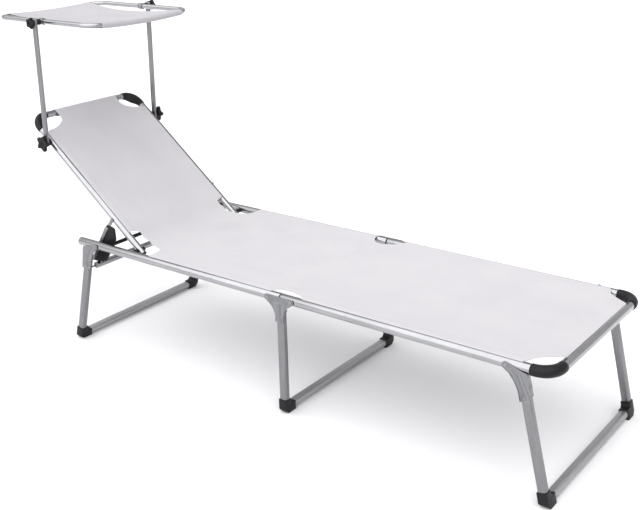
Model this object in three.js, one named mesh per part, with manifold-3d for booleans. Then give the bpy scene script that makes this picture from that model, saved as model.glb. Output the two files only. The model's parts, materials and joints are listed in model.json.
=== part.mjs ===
// A folding sun lounger with a canopy, in millimetres, Z up.
// The head end points to -X, the foot end to +X, and the left side of a person who lies on it is +Y.
// Two halves of round aluminium side rail fold down round a middle leg. A backrest hinges on the
// head half, a toothed stay holds it up against a tie tube between the head legs, and two arms with
// star knobs carry a small canopy over the head.
import * as THREE from "three";
import { mergeVertices } from "three/addons/utils/BufferGeometryUtils.js";
import Module from "manifold-3d";

// Fits
const touchGap = 0.3; // left between pieces that touch
const overrun = 2; // how far a cutting tool runs past the face that it cuts
const turningGap = 0.4; // round a pin that something turns on

// Side rails
const railSpacing = 522; // from centre to centre
const railHeight = 348; // of the rail's centre above the ground
const railDiameter = 26;
const railWall = 1.5;
const slotWidth = 2.8; // the slot on top that the fabric enters
const channelDiameter = 6; // the channel under the slot that the bead lies in
const channelLip = 1.3; // metal above the channel
const headRailEnd = 818; // from the fold to the end of the head rails
const foldGap = 4.5; // between the two halves of a rail
const endCapBulge = 6;
const plugDepth = 22; // how deep a plug reaches into a tube

// Foot end of the frame
const footBarPlace = 785; // of the end bar's centre, from the fold
const footBend = 46; // radius of the corner's centre line
const footSleeveDiameter = 29;
const footSleeveStraight = 8;

// Legs
const legWide = 24; // along the lounger
const legDeep = 20; // across the lounger
const legCorner = 6;
const legWall = 1.5;
const plateGap = 0.8; // between the rail's outer side and the bracket's plate
const plateThickness = 1.5;
const crossbarHeight = 16; // of the crossbar's centre above the ground
const footBlockHeight = 43;
const footBlockWall = 1.6; // by which the foot block is larger than the leg
const footBlockReach = 44; // from the foot block's outer face to its inner end
const footChamfer = 11;

// Fold bracket
const foldPinPlace = 40; // from the fold
const foldPlateBottom = 67; // below the rail's centre
const foldLegTop = 17; // from the rail's centre down to the leg's upper end
const foldPlateEnd = 9.5; // radius round a pin
const pinDiameter = 8;
const pinHeadDiameter = 12.5;
const pinHeadHeight = 2.2;
const rivetDiameter = 7;
const rivetHeight = 1.2;
const reliefDepth = 0.6; // of the shallow bare panel on the plate
const reliefHeight = 13;
const foldFlangeTop = 14; // below the rail, down to the upper end of the plate's flanges
const foldRivetDrop = 42; // below the rail's centre

// End legs
const footPivotPlace = 673;
const headPivotPlace = 732;
const legSetback = 34; // from the pivot to the leg's centre line
const footLegLean = 13.4; // degrees
const headLegLean = 15.4; // degrees
const bracketPlateLength = 82; // from the rail's centre down along the leg
const bracketRing = 10; // radius of the plate round its pivot

// Tie tube between the head legs, which the stay leans on
const tieTubeDiameter = 20;
const tieTubeWall = 1.5;
const tieTubePlace = 38; // from the head legs' pivot towards the head
const tieTubeDrop = 78; // below the head legs' pivot
const tieTubeShort = 15; // from the rail's centre in to the tube's end
const tieBoltDiameter = 5;

// Backrest
const hingePlace = 593; // from the fold
const reclineAngle = 38.5; // degrees above flat
const backRailDiameter = 21;
const backRailInset = 45.3; // from the side rail's centre in to the backrest rail's
const backLength = 572; // from the hinge to the top bar's centre
const backTail = 15; // from the hinge to the lower end of the rails
const backBend = 45;
const backSleeveDiameter = 23.4;
const backSleeveStraight = 8;
const hingeBoltDiameter = 8;
const hingeSpacerDiameter = 15;
const hingeHeadDiameter = 15;
const hingeHeadHeight = 5;
const tailPlugDepth = 8;

// Stay that holds the backrest up
const stayPivotPlace = 131; // from the hinge, along the backrest rail
const stayAngle = 57; // degrees below the horizontal
const stayTurnShare = 2.2; // turns of the stay on the backrest for each turn of the backrest
const stayBarWidth = 12;
const stayBarThickness = 3;
const stayBarLength = 176;
const stayBarInset = 21.3; // from the side rail's centre in to the bar's middle
const rackThickness = 6;
const rackWidth = 46; // from the bar's centre line to the toothed side
const tubeClearance = 0.6; // between the tie tube and the rack's end
const notchDepth = 3.2;
const notchAngles = [-4, -8, -12]; // degrees of recline that the notches stand for
const rackInset = 29.4; // from the side rail's centre in to the rack's inner face
const rackEdgeFrom = -18; // degrees of recline over which the rack's side follows the tie tube
const rackEdgeTo = 7;
const rackEdgeSteps = 10;
const stayPinDiameter = 6;
const tieRodDiameter = 12;
const tieRodAlong = 80; // from the stay's pivot
const tieRodAcross = 33;

// Canopy
const armPivotDown = 103.4; // from the top bar back to the arm's lower pivot, along the backrest
const armLength = 373.2; // between the pivots
const armLean = 1.8; // degrees towards the foot end
const armWidth = 18;
const armThickness = 10;
const armOutset = 18.8; // from the backrest rail's centre out to the arm's middle
const armOvershoot = 11; // beyond each pivot
const canopyTubeDiameter = 15;
const canopyLong = 435; // between the centres of the end tubes
const canopyInset = 10.7; // from the backrest rail's centre in to the side tube's
const canopyBend = 42;
const canopyBow = 8; // how far the end tubes bend down in the middle
const clampWidth = 24;
const clampWall = 3.4;
const clampBoltDiameter = 5;
const knobDiameter = 44;
const knobWaist = 33; // between the lobes
const knobThickness = 11;
const knobHubDiameter = 18;
const knobHubHeight = 5;
const knobBevel = 1.6;
const knobLobes = 5;

// Fabric
const fabricThickness = 1.1;
const beadDiameter = 4.6;
const foldCutHead = 37; // the half-moon cut at the fold, towards the head
const foldCutFoot = 68; // and towards the foot
const foldCutDepth = 49; // from the rail's centre in to the bottom of the cut
const hingeCutStart = 18; // the cut beside the hinge, from the hinge towards the foot end
const hingeCutEnd = 84;
const hingeCutDepth = 76;
const seatStartGap = 13; // from the hinge to where the seat's fabric begins
const footCutLength = 72; // along the rail, from where the fabric leaves it to the end bar's centre
const footCutDepth = 79; // from the rail's centre in to where it reaches the end bar
const backClothStart = 8; // from the hinge
const backCutTo = 66; // the cut at the backrest's lower end, from the hinge
const backCutDepth = 35.7; // from the rail's centre in to the bottom of that cut
const backCutLength = 74; // along the rail, from where the fabric leaves it to the top bar's centre
const backSleeveInset = 87.1; // from the rail's centre in to the sleeve's end on the top bar
const canopyClothInset = 22; // by which the free edges draw in
const canopySag = 16; // how far the canopy's cloth hangs in its middle
const sleeveTurn = 28; // degrees above level where the canopy's sleeves end

// Counts
const roundSides = 20;
const smallSides = 10;
const bendSteps = 6;
const clothSteps = 8;
const lobeSteps = 6;

const radians = THREE.MathUtils.degToRad;
const railRadius = railDiameter / 2;
const railSide = railSpacing / 2;
const backRailRadius = backRailDiameter / 2;
const backSide = railSide - backRailInset;
const hingeHeight = railHeight; // in the plane of the side rails
const tieTubeHalf = railSide - tieTubeShort;
const stayBarPlace = railSide - stayBarInset;
const rackInner = railSide - rackInset;
const armPivotUp = backLength - armPivotDown;
const armPlace = backSide + armOutset;
const canopyWide = 2 * (backSide - canopyInset);
const foldCutInner = railSide - foldCutDepth;
const hingeCutInner = railSide - hingeCutDepth;
const hingeCutFrom = hingePlace - hingeCutStart;
const hingeCutTo = hingePlace - hingeCutEnd;
const seatStart = hingePlace - seatStartGap;
const footCutStart = footBarPlace - footCutLength;
const footCutInner = railSide - footCutDepth;
const backCutInner = backSide - backCutDepth;
const backCutStart = backLength - backCutLength;
const backTopHalf = backSide - backSleeveInset;
const plateInner = railSide + railRadius + plateGap;
const plateOuter = plateInner + plateThickness;
const legSide = plateInner - touchGap - legDeep / 2;
const clothBottom = railHeight + railRadius + touchGap;
const canopyClothHalf = canopyWide / 2 - canopyBend; // its sleeves end where the tube starts to bend

const wasm = await Module();
wasm.setup();

const materials = {
  bright: new THREE.MeshStandardMaterial({ color: 0xd9dbde, roughness: 0.28, metalness: 1 }),
  brushed: new THREE.MeshStandardMaterial({ color: 0xa9abb0, roughness: 0.42, metalness: 1 }),
  plate: new THREE.MeshStandardMaterial({ color: 0x9b9ea4, roughness: 0.45, metalness: 1 }),
  plastic: new THREE.MeshStandardMaterial({ color: 0x2c2a30, roughness: 0.55, metalness: 0 }),
  cap: new THREE.MeshStandardMaterial({ color: 0x9a9ca2, roughness: 0.5, metalness: 0 }),
  cloth: new THREE.MeshStandardMaterial({ color: 0xdedce0, roughness: 0.85, metalness: 0 }),
};

// Solids

function solidOf(geometry) {
  const bare = geometry.index ? geometry.toNonIndexed() : geometry.clone();
  bare.deleteAttribute("normal");
  bare.deleteAttribute("uv");
  const merged = mergeVertices(bare, 1e-4);
  return new wasm.Manifold(
    new wasm.Mesh({
      numProp: 3,
      vertProperties: merged.attributes.position.array,
      triVerts: new Uint32Array(merged.index.array),
    }),
  );
}

function geometryOf(solid) {
  const mesh = solid.getMesh();
  const geometry = new THREE.BufferGeometry();
  geometry.setAttribute("position", new THREE.BufferAttribute(mesh.vertProperties, 3));
  geometry.setIndex(new THREE.BufferAttribute(mesh.triVerts, 1));
  return geometry;
}

function join(first, ...others) {
  return geometryOf(others.reduce((sum, other) => sum.add(solidOf(other)), solidOf(first)));
}

function cut(first, ...tools) {
  return geometryOf(tools.reduce((rest, tool) => rest.subtract(solidOf(tool)), solidOf(first)));
}

// Outlines

function point(x, y) {
  return new THREE.Vector2(x, y);
}

// The points of an arc, both ends included. Angles are in degrees.
function arc(x, y, radius, from, to, steps) {
  return Array.from({ length: steps + 1 }, (_, i) => {
    const angle = radians(from + ((to - from) * i) / steps);
    return point(x + radius * Math.cos(angle), y + radius * Math.sin(angle));
  });
}

function circle(radius, sides, x = 0, y = 0) {
  return arc(x, y, radius, 0, 360, sides).slice(1);
}

function shape(outline, ...holes) {
  const made = new THREE.Shape(outline);
  made.holes = holes.map((hole) => new THREE.Path(hole));
  return made;
}

function roundedRectangle(width, height, corner, steps) {
  const x = width / 2 - corner;
  const y = height / 2 - corner;
  return [
    ...arc(x, y, corner, 0, 90, steps),
    ...arc(-x, y, corner, 90, 180, steps),
    ...arc(-x, -y, corner, 180, 270, steps),
    ...arc(x, -y, corner, 270, 360, steps),
  ];
}

// A curve through a few points, drawn with straight steps.
function smooth(points, steps) {
  return new THREE.SplineCurve(points).getPoints(steps);
}

// Extrusions

function extrude(drawn, length, bevel = 0) {
  return new THREE.ExtrudeGeometry(drawn, {
    depth: length - 2 * bevel,
    bevelEnabled: bevel > 0,
    bevelThickness: bevel,
    bevelSize: bevel,
    bevelOffset: -bevel,
    bevelSegments: 1,
  }).translate(0, 0, bevel);
}

// Drawn in Y and Z, extruded along X.
function alongX(drawn, from, to) {
  const turn = new THREE.Matrix4().makeBasis(
    new THREE.Vector3(0, 1, 0),
    new THREE.Vector3(0, 0, 1),
    new THREE.Vector3(1, 0, 0),
  );
  return extrude(drawn, to - from).applyMatrix4(turn).translate(from, 0, 0);
}

// Drawn in X and Z, extruded along Y.
function alongY(drawn, from, to, bevel = 0) {
  return extrude(drawn, to - from, bevel).rotateX(Math.PI / 2).translate(0, to, 0);
}

// Drawn in X and Y, extruded along Z.
function alongZ(drawn, from, to) {
  return extrude(drawn, to - from).translate(0, 0, from);
}

// A round bar along Y.
function pinAlongY(radius, sides, from, to, x = 0, z = 0) {
  return alongY(shape(circle(radius, sides, x, z)), from, to);
}

// A skin over rings of points, which closes on itself or ends in two flat faces.
function loft(rings, closed, lid) {
  const count = rings[0].length;
  const triangles = [];
  const last = closed ? rings.length : rings.length - 1;
  for (let i = 0; i < last; i++) {
    const here = i * count;
    const next = ((i + 1) % rings.length) * count;
    for (let j = 0; j < count; j++) {
      const k = (j + 1) % count;
      triangles.push(here + j, next + k, here + k);
      triangles.push(here + j, next + j, next + k);
    }
  }
  if (!closed) {
    const end = (rings.length - 1) * count;
    for (const [a, b, c] of THREE.ShapeUtils.triangulateShape(lid, [])) {
      triangles.push(a, b, c);
      triangles.push(end + a, end + c, end + b);
    }
  }
  const geometry = new THREE.BufferGeometry();
  const flat = rings.flat().flatMap((p) => [p.x, p.y, p.z]);
  geometry.setAttribute("position", new THREE.Float32BufferAttribute(flat, 3));
  geometry.setIndex(triangles);
  return geometry;
}

// Scene graph

const lounger = new THREE.Group();
const leftAndRight = [
  ["left", 1],
  ["right", -1],
];

function place(parent, name, geometry, material, side = 1) {
  const mesh = new THREE.Mesh(geometry, materials[material].clone());
  mesh.name = name;
  mesh.scale.y = side;
  parent.add(mesh);
}

function groupAt(parent, x, z, turn = 0) {
  const group = new THREE.Group();
  group.position.set(x, 0, z);
  group.rotation.y = radians(turn);
  parent.add(group);
  return group;
}

// Extruded rail: a round tube with a bead channel inside its top, open through a slot

function channelCentre(radius) {
  return radius - channelLip - channelDiameter / 2;
}

function railShape(radius) {
  const inner = radius - railWall;
  const bead = channelDiameter / 2;
  const boss = bead + channelLip;
  const centre = channelCentre(radius);
  const outerSlot = THREE.MathUtils.radToDeg(Math.asin(slotWidth / 2 / radius));
  const beadSlot = THREE.MathUtils.radToDeg(Math.asin(slotWidth / 2 / bead));
  const outline = [
    ...arc(0, 0, radius, 90 + outerSlot, 450 - outerSlot, roundSides),
    ...arc(0, centre, bead, 90 - beadSlot, beadSlot - 270, smallSides - 2),
  ];
  // Where the boss round the channel meets the inner wall.
  const height = (inner * inner - boss * boss + centre * centre) / (2 * centre);
  const width = Math.sqrt(inner * inner - height * height);
  const onWall = THREE.MathUtils.radToDeg(Math.atan2(height, width));
  const onBoss = THREE.MathUtils.radToDeg(Math.atan2(height - centre, width));
  const hollow = [
    ...arc(0, 0, inner, 180 - onWall, 360 + onWall, roundSides - 6),
    ...arc(0, centre, boss, onBoss, -180 - onBoss, smallSides - 4).slice(1, -1),
  ];
  return shape(outline, hollow);
}

// The plug that fits the rail's hollow, below its channel.
function railPlugShape(radius) {
  const inner = radius - railWall - touchGap;
  const top = channelCentre(radius) - channelDiameter / 2 - channelLip - touchGap;
  const edge = THREE.MathUtils.radToDeg(Math.asin(top / inner));
  return shape(arc(0, 0, inner, 180 - edge, 360 + edge, smallSides));
}

// The pins that go through a rail, each with a head over the plate that turns on it.
function sideRail(from, to, ...pins) {
  const rail = alongX(railShape(railRadius), from, to).translate(0, railSide, railHeight);
  const inner = railSide - railRadius - rivetHeight;
  const head = plateOuter + touchGap;
  return join(rail, ...pins.flatMap((x) => [
    pinAlongY(pinDiameter / 2, smallSides, inner, head + pinHeadHeight / 2, x, railHeight),
    pinAlongY(pinHeadDiameter / 2, smallSides * 1.6, head, head + pinHeadHeight, x, railHeight),
  ]));
}

// Head half of the frame

function railCap() {
  const dome = new THREE.LatheGeometry(
    [point(0, 0), ...arc(0, 0, 1, 0, 90, 4).map((p) => point(railRadius * p.x, endCapBulge * p.y))],
    roundSides,
  ).rotateZ(Math.PI / 2);
  const plug = alongX(railPlugShape(railRadius), -overrun / 2, plugDepth);
  return join(dome, plug).translate(-headRailEnd - touchGap, railSide, railHeight);
}

// The spacer between the rail and the backrest, the bolt through both and its inner head.
function hingeBolt() {
  const backOuter = backSide + backRailRadius + touchGap;
  const backInner = backSide - backRailRadius - touchGap;
  const rail = alongX(shape(circle(railRadius + touchGap, roundSides)),
    -hingePlace - railDiameter, -hingePlace + railDiameter).translate(0, railSide, railHeight);
  const spacer = pinAlongY(hingeSpacerDiameter / 2, roundSides, backOuter,
    railSide - railRadius + overrun, -hingePlace, hingeHeight);
  const bolt = pinAlongY(hingeBoltDiameter / 2, smallSides, backInner - overrun / 2,
    backOuter + overrun, -hingePlace, hingeHeight);
  const head = pinAlongY(hingeHeadDiameter / 2, roundSides, backInner - hingeHeadHeight,
    backInner, -hingePlace, hingeHeight);
  return cut(join(spacer, bolt, head), rail);
}

// Fabric

// The vertical web and the bead that hold the cloth in a slot, drawn about the slot's centre line.
function hemShape(radius) {
  const bead = beadDiameter / 2;
  const web = fabricThickness / 2;
  const centre = channelCentre(radius);
  const onBead = THREE.MathUtils.radToDeg(Math.asin(web / bead));
  const top = radius + touchGap + fabricThickness / 2;
  return shape([
    point(-web, top),
    ...arc(0, centre, bead, 90 + onBead, 450 - onBead, smallSides - 2),
    point(web, top),
  ]);
}

// The seat's cloth: full width between the cut beside the hinge and the half-moon at the fold.
// How far along and across each cut its edge has come, by the way from its first point to its last.
const hingeCutShares = [[0.56, 0.12], [0.92, 0.3], [1, 0.56]];
const backLowerCutShares = [[0.83, 0.01], [0.95, 0.47]];
const backUpperCutShares = [[0.01, 0.26], [0.05, 0.46], [0.2, 0.7], [0.38, 0.89], [0.58, 1]];

function cutEdge(from, to, shares) {
  const between = shares.map(([along, across]) =>
    point(from.x + (to.x - from.x) * along, from.y + (to.y - from.y) * across));
  return smooth([from, ...between, to], bendSteps * 2);
}

function seatOutline() {
  const edge = railSide + fabricThickness / 2;
  const hingeCut = cutEdge(
    point(-hingeCutFrom, hingeCutInner),
    point(-hingeCutTo, edge),
    hingeCutShares,
  );
  const half = [
    point(-seatStart, hingeCutInner),
    ...hingeCut,
    point(-foldCutHead, edge),
    ...foldCutCurve(-foldCutHead),
  ];
  return [...half, ...half.map((p) => point(p.x, -p.y)).reverse()];
}

// From the rail's edge in to the half-moon's innermost point on the fold line.
function foldCutCurve(start) {
  const edge = railSide + fabricThickness / 2;
  const deep = edge - foldCutInner;
  const fold = (Math.sign(start) * foldGap) / 2;
  return arc(0, 0, 1, 90, 0, bendSteps)
    .slice(1)
    .map((p) => point(fold + (start - fold) * p.y, edge - deep * p.x))
    .filter((p) => p.y < edge);
}

function seatCloth() {
  const sheet = alongZ(shape(seatOutline()), clothBottom, clothBottom + fabricThickness);
  const hem = alongX(hemShape(railRadius), -hingeCutTo, -foldCutHead);
  return join(
    sheet,
    hem.clone().translate(0, railSide, railHeight),
    hem.clone().translate(0, -railSide, railHeight),
  );
}

// The foot half's cloth: from the fold to the end bar, with its corners cut away.
function footClothOutline() {
  const edge = railSide + fabricThickness / 2;
  const far = footBarPlace + fabricThickness / 2;
  const cornerCut = smooth([
    point(footCutStart, edge),
    point(footCutStart + (far - footCutStart) / 4, (edge + footCutInner) / 2),
    point(far, footCutInner),
  ], bendSteps);
  const half = [...foldCutCurve(foldCutFoot).reverse(), point(foldCutFoot, edge), ...cornerCut];
  return [...half, ...half.map((p) => point(p.x, -p.y)).reverse()];
}

function footCloth() {
  const sheet = alongZ(shape(footClothOutline()), clothBottom, clothBottom + fabricThickness);
  const hem = alongX(hemShape(railRadius), foldCutFoot, footCutStart);
  const endHem = alongY(hemShape(railRadius), -footCutInner, footCutInner);
  return join(
    sheet,
    hem.clone().translate(0, railSide, railHeight),
    hem.clone().translate(0, -railSide, railHeight),
    endHem.translate(footBarPlace, 0, railHeight),
  );
}

// Corner sleeves: a solid moulded elbow with a plug at each end

function elbow(bend, diameter, straight, plugAlongX, plugAlongY) {
  const radius = diameter / 2;
  const ringAt = (x, y, angle) =>
    circle(radius, roundSides).map((p) =>
      new THREE.Vector3(p.x, 0, p.y).applyAxisAngle(new THREE.Vector3(0, 0, 1), radians(angle))
        .add(new THREE.Vector3(x, y, 0)));
  const rings = [ringAt(-straight, bend, -90)];
  for (const p of arc(0, 0, bend, 90, 0, bendSteps)) {
    const angle = THREE.MathUtils.radToDeg(Math.atan2(p.y, p.x));
    rings.push(ringAt(p.x, p.y, angle - 180));
  }
  rings.push(ringAt(bend, -straight, -180));
  const body = loft(rings, false, circle(radius, roundSides));
  const reach = straight + plugDepth;
  const onX = alongX(plugAlongX, -reach, -straight + overrun).translate(0, bend, 0);
  const onY = alongY(plugAlongY, -reach, -straight + overrun).translate(bend, 0, 0);
  return join(body, onX, onY);
}

function footCorner() {
  const plug = railPlugShape(railRadius);
  return elbow(footBend, footSleeveDiameter, footSleeveStraight, plug, plug)
    .translate(footBarPlace - footBend, railSide - footBend, railHeight);
}

// The end bar has the side rail's section, with its slot upwards too.
function footBar() {
  const half = railSide - footBend - footSleeveStraight - touchGap;
  return alongY(railShape(railRadius), -half, half).translate(footBarPlace, 0, railHeight);
}

// Legs

function legShape() {
  const outer = roundedRectangle(legWide, legDeep, legCorner, 3);
  const inner = roundedRectangle(legWide - 2 * legWall, legDeep - 2 * legWall, legCorner - legWall, 3);
  return shape(outer, inner);
}

function legPlugShape() {
  const less = 2 * legWall + 2 * touchGap;
  return shape(roundedRectangle(legWide - less, legDeep - less, legCorner - legWall, 1));
}

function legTube(top) {
  return alongZ(legShape(), footBlockHeight + touchGap, top).translate(0, legSide, 0);
}

// The moulded foot, a chamfered elbow with a plug in the leg and one in the crossbar.
// Its origin is where the leg's centre line meets the ground, which is cut level there.
function footBlock(lean) {
  const outer = legSide + legDeep / 2 + footBlockWall;
  const inner = legSide - legDeep / 2 - footBlockWall;
  const end = outer - footBlockReach;
  const barTop = crossbarHeight + legDeep / 2 + footBlockWall;
  const outline = [
    point(outer, footBlockHeight),
    point(inner, footBlockHeight),
    point(inner, barTop + footChamfer / 2),
    point(inner - footChamfer / 2, barTop),
    point(end, barTop),
    point(end, -legWide),
    point(outer - footChamfer, -legWide),
    point(outer - footChamfer, 0),
    point(outer, footChamfer),
  ];
  const wide = legWide + 2 * footBlockWall;
  const body = alongX(shape(outline), -wide / 2, wide / 2);
  const up = alongZ(legPlugShape(), footBlockHeight - overrun, footBlockHeight + plugDepth);
  const across = alongY(legPlugShape(), end - plugDepth, end + overrun);
  const below = new THREE.BoxGeometry(railSpacing, railSpacing, railSpacing)
    .translate(0, legSide, -railSpacing / 2).rotateY(radians(lean));
  return cut(
    join(body, up.translate(0, legSide, 0), across.translate(0, 0, crossbarHeight)),
    below,
  );
}

// The crossbar on the ground, square over the plugs of the two feet.
function crossbar() {
  const half = legSide + legDeep / 2 + footBlockWall - footBlockReach - touchGap;
  return alongY(legShape(), -half, half).translate(0, 0, crossbarHeight);
}

function rivet(x, z) {
  return pinAlongY(rivetDiameter / 2, smallSides - 4, plateOuter - plateThickness / 2,
    plateOuter + rivetHeight, x, z);
}

function pinHole(x, z) {
  return circle(pinDiameter / 2 + turningGap, smallSides, x, z);
}

// A flange that folds in from the plate along one side of the leg.
function flange(x, bottom, top) {
  const width = plateInner + plateThickness / 2 - (legSide - legDeep / 2);
  return new THREE.BoxGeometry(plateThickness, width, top - bottom)
    .translate(x, plateInner + plateThickness / 2 - width / 2, (top + bottom) / 2);
}

// Middle leg with its fold bracket

const foldSideShares = [[0.72, 0.7], [0.62, 0.36], [1.12, 0.66]];

// Wide at the top round both pins, with curved sides that run down to the leg's width.
function foldPlateOutline() {
  const [shoulder, waist, calf] = foldSideShares;
  const leg = legWide / 2 + touchGap + plateThickness;
  const side = smooth([
    point(-foldPinPlace - foldPlateEnd * shoulder[0], -foldPlateEnd * shoulder[1]),
    point(-foldPinPlace * waist[0], -foldPlateBottom * waist[1]),
    point(-leg * calf[0], -foldPlateBottom * calf[1]),
    point(-leg, -foldPlateBottom),
  ], bendSteps);
  const half = [...arc(-foldPinPlace, 0, foldPlateEnd, 90, 210, 5), ...side];
  return [...half, ...half.map((p) => point(-p.x, p.y)).reverse()];
}

function foldBracket() {
  const holes = [-foldPinPlace, foldPinPlace].map((x) => pinHole(x, 0));
  const plate = alongY(shape(foldPlateOutline(), ...holes), plateInner, plateOuter);
  const panel = roundedRectangle(foldPinPlace + reliefHeight, reliefHeight, reliefHeight / 4, 2);
  const relief = alongY(shape(panel), plateOuter - reliefDepth, plateOuter + overrun)
    .translate(0, 0, -reliefHeight / 2);
  const side = legWide / 2 + touchGap + plateThickness / 2;
  const top = -railRadius - foldFlangeTop;
  const bracket = join(
    cut(plate, relief),
    flange(side, -foldPlateBottom, top),
    flange(-side, -foldPlateBottom, top),
    rivet(0, -foldRivetDrop),
    rivet(legWide / 2 - rivetDiameter / 2, -foldRivetDrop - rivetDiameter),
  );
  return bracket.translate(0, 0, railHeight);
}

function buildMiddleLeg() {
  const group = groupAt(lounger, 0, 0);
  for (const [side, sign] of leftAndRight) {
    place(group, `fold_bracket_${side}`, foldBracket(), "plate", sign);
    place(group, `leg_middle_${side}`, legTube(railHeight - foldLegTop), "brushed", sign);
    place(group, `foot_middle_${side}`, footBlock(0), "plastic", sign);
  }
  place(group, "crossbar_middle", crossbar(), "brushed");
}

// End legs. They are drawn for the foot end, from the pivot, and turned round for the head end.

const bracketInnerShares = [[1, 1], [0.83, 0.68], [0.58, 0.43], [0.27, 0.23]];
const bracketTopShares = [[0.3, 0.3], [0.62, -0.25], [0.95, -0.62]];
const bracketRivetShares = [0.48, 0.86];

// How high the leg reaches, along its own line, under the rail that it leans away from.
function legTopAt(lean) {
  const tilt = radians(lean);
  const down = railRadius + plateGap + (legSetback + legWide / 2 + plateThickness) * Math.sin(tilt);
  return -down / Math.cos(tilt);
}

function endBracket(lean, reach) {
  const slope = Math.tan(radians(lean));
  const centreAt = (z) => legSetback / Math.cos(radians(lean)) - z * slope;
  const leg = legWide / 2 + touchGap + plateThickness;
  const bottom = -bracketPlateLength;
  const outerTop = centreAt(-railRadius) + leg + plateThickness * 4;
  const inner = Math.min(centreAt(bottom) - leg, reach);
  const outline = [
    ...arc(0, 0, bracketRing, 60, 225, 8),
    ...smooth(bracketInnerShares.map(([x, z]) => point(inner * x, bottom * z)).reverse(), bendSteps),
    point(centreAt(bottom) + leg, bottom),
    point(outerTop, -railRadius),
    ...bracketTopShares.map(([x, z]) => point(outerTop * x, railRadius * z)).reverse(),
  ];
  const plate = alongY(shape(outline, pinHole(0, 0)), plateInner, plateOuter);
  const wrap = flange(legSetback + leg - plateThickness / 2, bottom, legTopAt(lean) - plateThickness)
    .rotateY(radians(-lean));
  const rivets = bracketRivetShares.map((share) => rivet(centreAt(bottom * share), bottom * share));
  return join(plate, wrap, ...rivets);
}

// The head legs' bracket also holds the tie tube, on a bolt with a plug in the tube's end.
function headBracket() {
  const cap = tieTubeHalf + touchGap;
  const x = tieTubePlace;
  const z = -tieTubeDrop;
  return join(
    endBracket(headLegLean, tieTubePlace - tieBoltDiameter * 1.5),
    pinAlongY(tieBoltDiameter / 2, smallSides, cap, plateOuter + rivetHeight, x, z),
    pinAlongY(tieBoltDiameter, smallSides - 4, plateOuter - plateThickness / 2,
      plateOuter + rivetHeight, x, z),
    pinAlongY(tieTubeDiameter / 2, roundSides, cap, cap + plateThickness, x, z),
    pinAlongY(tieTubeDiameter / 2 - tieTubeWall - touchGap, roundSides, cap - plugDepth,
      cap + plateThickness / 2, x, z),
  );
}

function tieTube() {
  const outer = tieTubeDiameter / 2;
  const ring = shape(circle(outer, roundSides), circle(outer - tieTubeWall, roundSides));
  return alongY(ring, -tieTubeHalf, tieTubeHalf).translate(tieTubePlace, 0, -tieTubeDrop);
}

function buildEndLegs(end, pivot, facing, lean, bracket) {
  const group = groupAt(lounger, facing * pivot, railHeight);
  group.scale.x = facing;
  const leaning = groupAt(group, 0, 0, -lean);
  const tilt = radians(lean);
  const ground = -(railHeight + legSetback * Math.sin(tilt)) / Math.cos(tilt);
  const feet = new THREE.Group();
  feet.position.set(legSetback, 0, ground);
  leaning.add(feet);
  for (const [side, sign] of leftAndRight) {
    place(group, `bracket_${end}_${side}`, bracket, "plate", sign);
    place(feet, `leg_${end}_${side}`, legTube(legTopAt(lean) - ground), "brushed", sign);
    place(feet, `foot_${end}_${side}`, footBlock(lean), "plastic", sign);
  }
  place(feet, `crossbar_${end}`, crossbar(), "brushed");
  return group;
}

// Backrest. It is drawn flat, from its hinge towards -X, and turned up by the recline angle.

function backRail() {
  const end = -(backLength - backBend - backSleeveStraight - touchGap);
  const rail = alongX(railShape(backRailRadius), end, backTail);
  const hole = (x, diameter) =>
    pinAlongY(diameter / 2 + turningGap, smallSides, -backRailDiameter, backRailDiameter, x, 0);
  const bolts = [[0, hingeBoltDiameter], [-stayPivotPlace, stayPinDiameter], [-armPivotUp, clampBoltDiameter]];
  return cut(rail, ...bolts.map(([x, diameter]) => hole(x, diameter))).translate(0, backSide, 0);
}

function backTailPlug() {
  const cap = alongX(shape(circle(backRailRadius, roundSides)), 0, plateThickness * 2);
  const plug = alongX(railPlugShape(backRailRadius), -tailPlugDepth, overrun / 2);
  return join(cap, plug).translate(backTail + touchGap, backSide, 0);
}

function backCorner() {
  const inBar = shape(circle(backRailRadius - railWall - touchGap, smallSides));
  const corner = elbow(backBend, backSleeveDiameter, backSleeveStraight, inBar,
    railPlugShape(backRailRadius));
  return corner.rotateZ(Math.PI / 2).translate(backBend - backLength, backSide - backBend, 0);
}

function backTopBar() {
  const half = backSide - backBend - backSleeveStraight - touchGap;
  const ring = shape(circle(backRailRadius, roundSides), circle(backRailRadius - railWall, roundSides));
  return alongY(ring, -half, half).translate(-backLength, 0, 0);
}

function backClothOutline() {
  const edge = backSide + fabricThickness / 2;
  const lower = cutEdge(
    point(-backClothStart, backCutInner),
    point(-backCutTo, edge),
    backLowerCutShares,
  );
  const upper = cutEdge(
    point(-backCutStart, edge),
    point(-backLength, backTopHalf),
    backUpperCutShares,
  );
  const end = point(-backLength - fabricThickness, backTopHalf);
  const half = [...lower, ...upper, end];
  return [...half, ...half.map((p) => point(p.x, -p.y)).reverse()];
}

// The cloth hangs between the rails' slots and runs over the top bar in a sewn sleeve.
function backCloth() {
  const bottom = backRailRadius + touchGap;
  const top = bottom + fabricThickness;
  const sheet = alongZ(shape(backClothOutline()), bottom, top);
  const hem = alongX(hemShape(backRailRadius), -backCutStart, -backCutTo);
  const ring = shape(circle(top, roundSides), circle(bottom, roundSides));
  return join(
    sheet,
    hem.clone().translate(0, backSide, 0),
    hem.clone().translate(0, -backSide, 0),
    alongY(ring, -backTopHalf, backTopHalf).translate(-backLength, 0, 0),
  );
}

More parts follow.
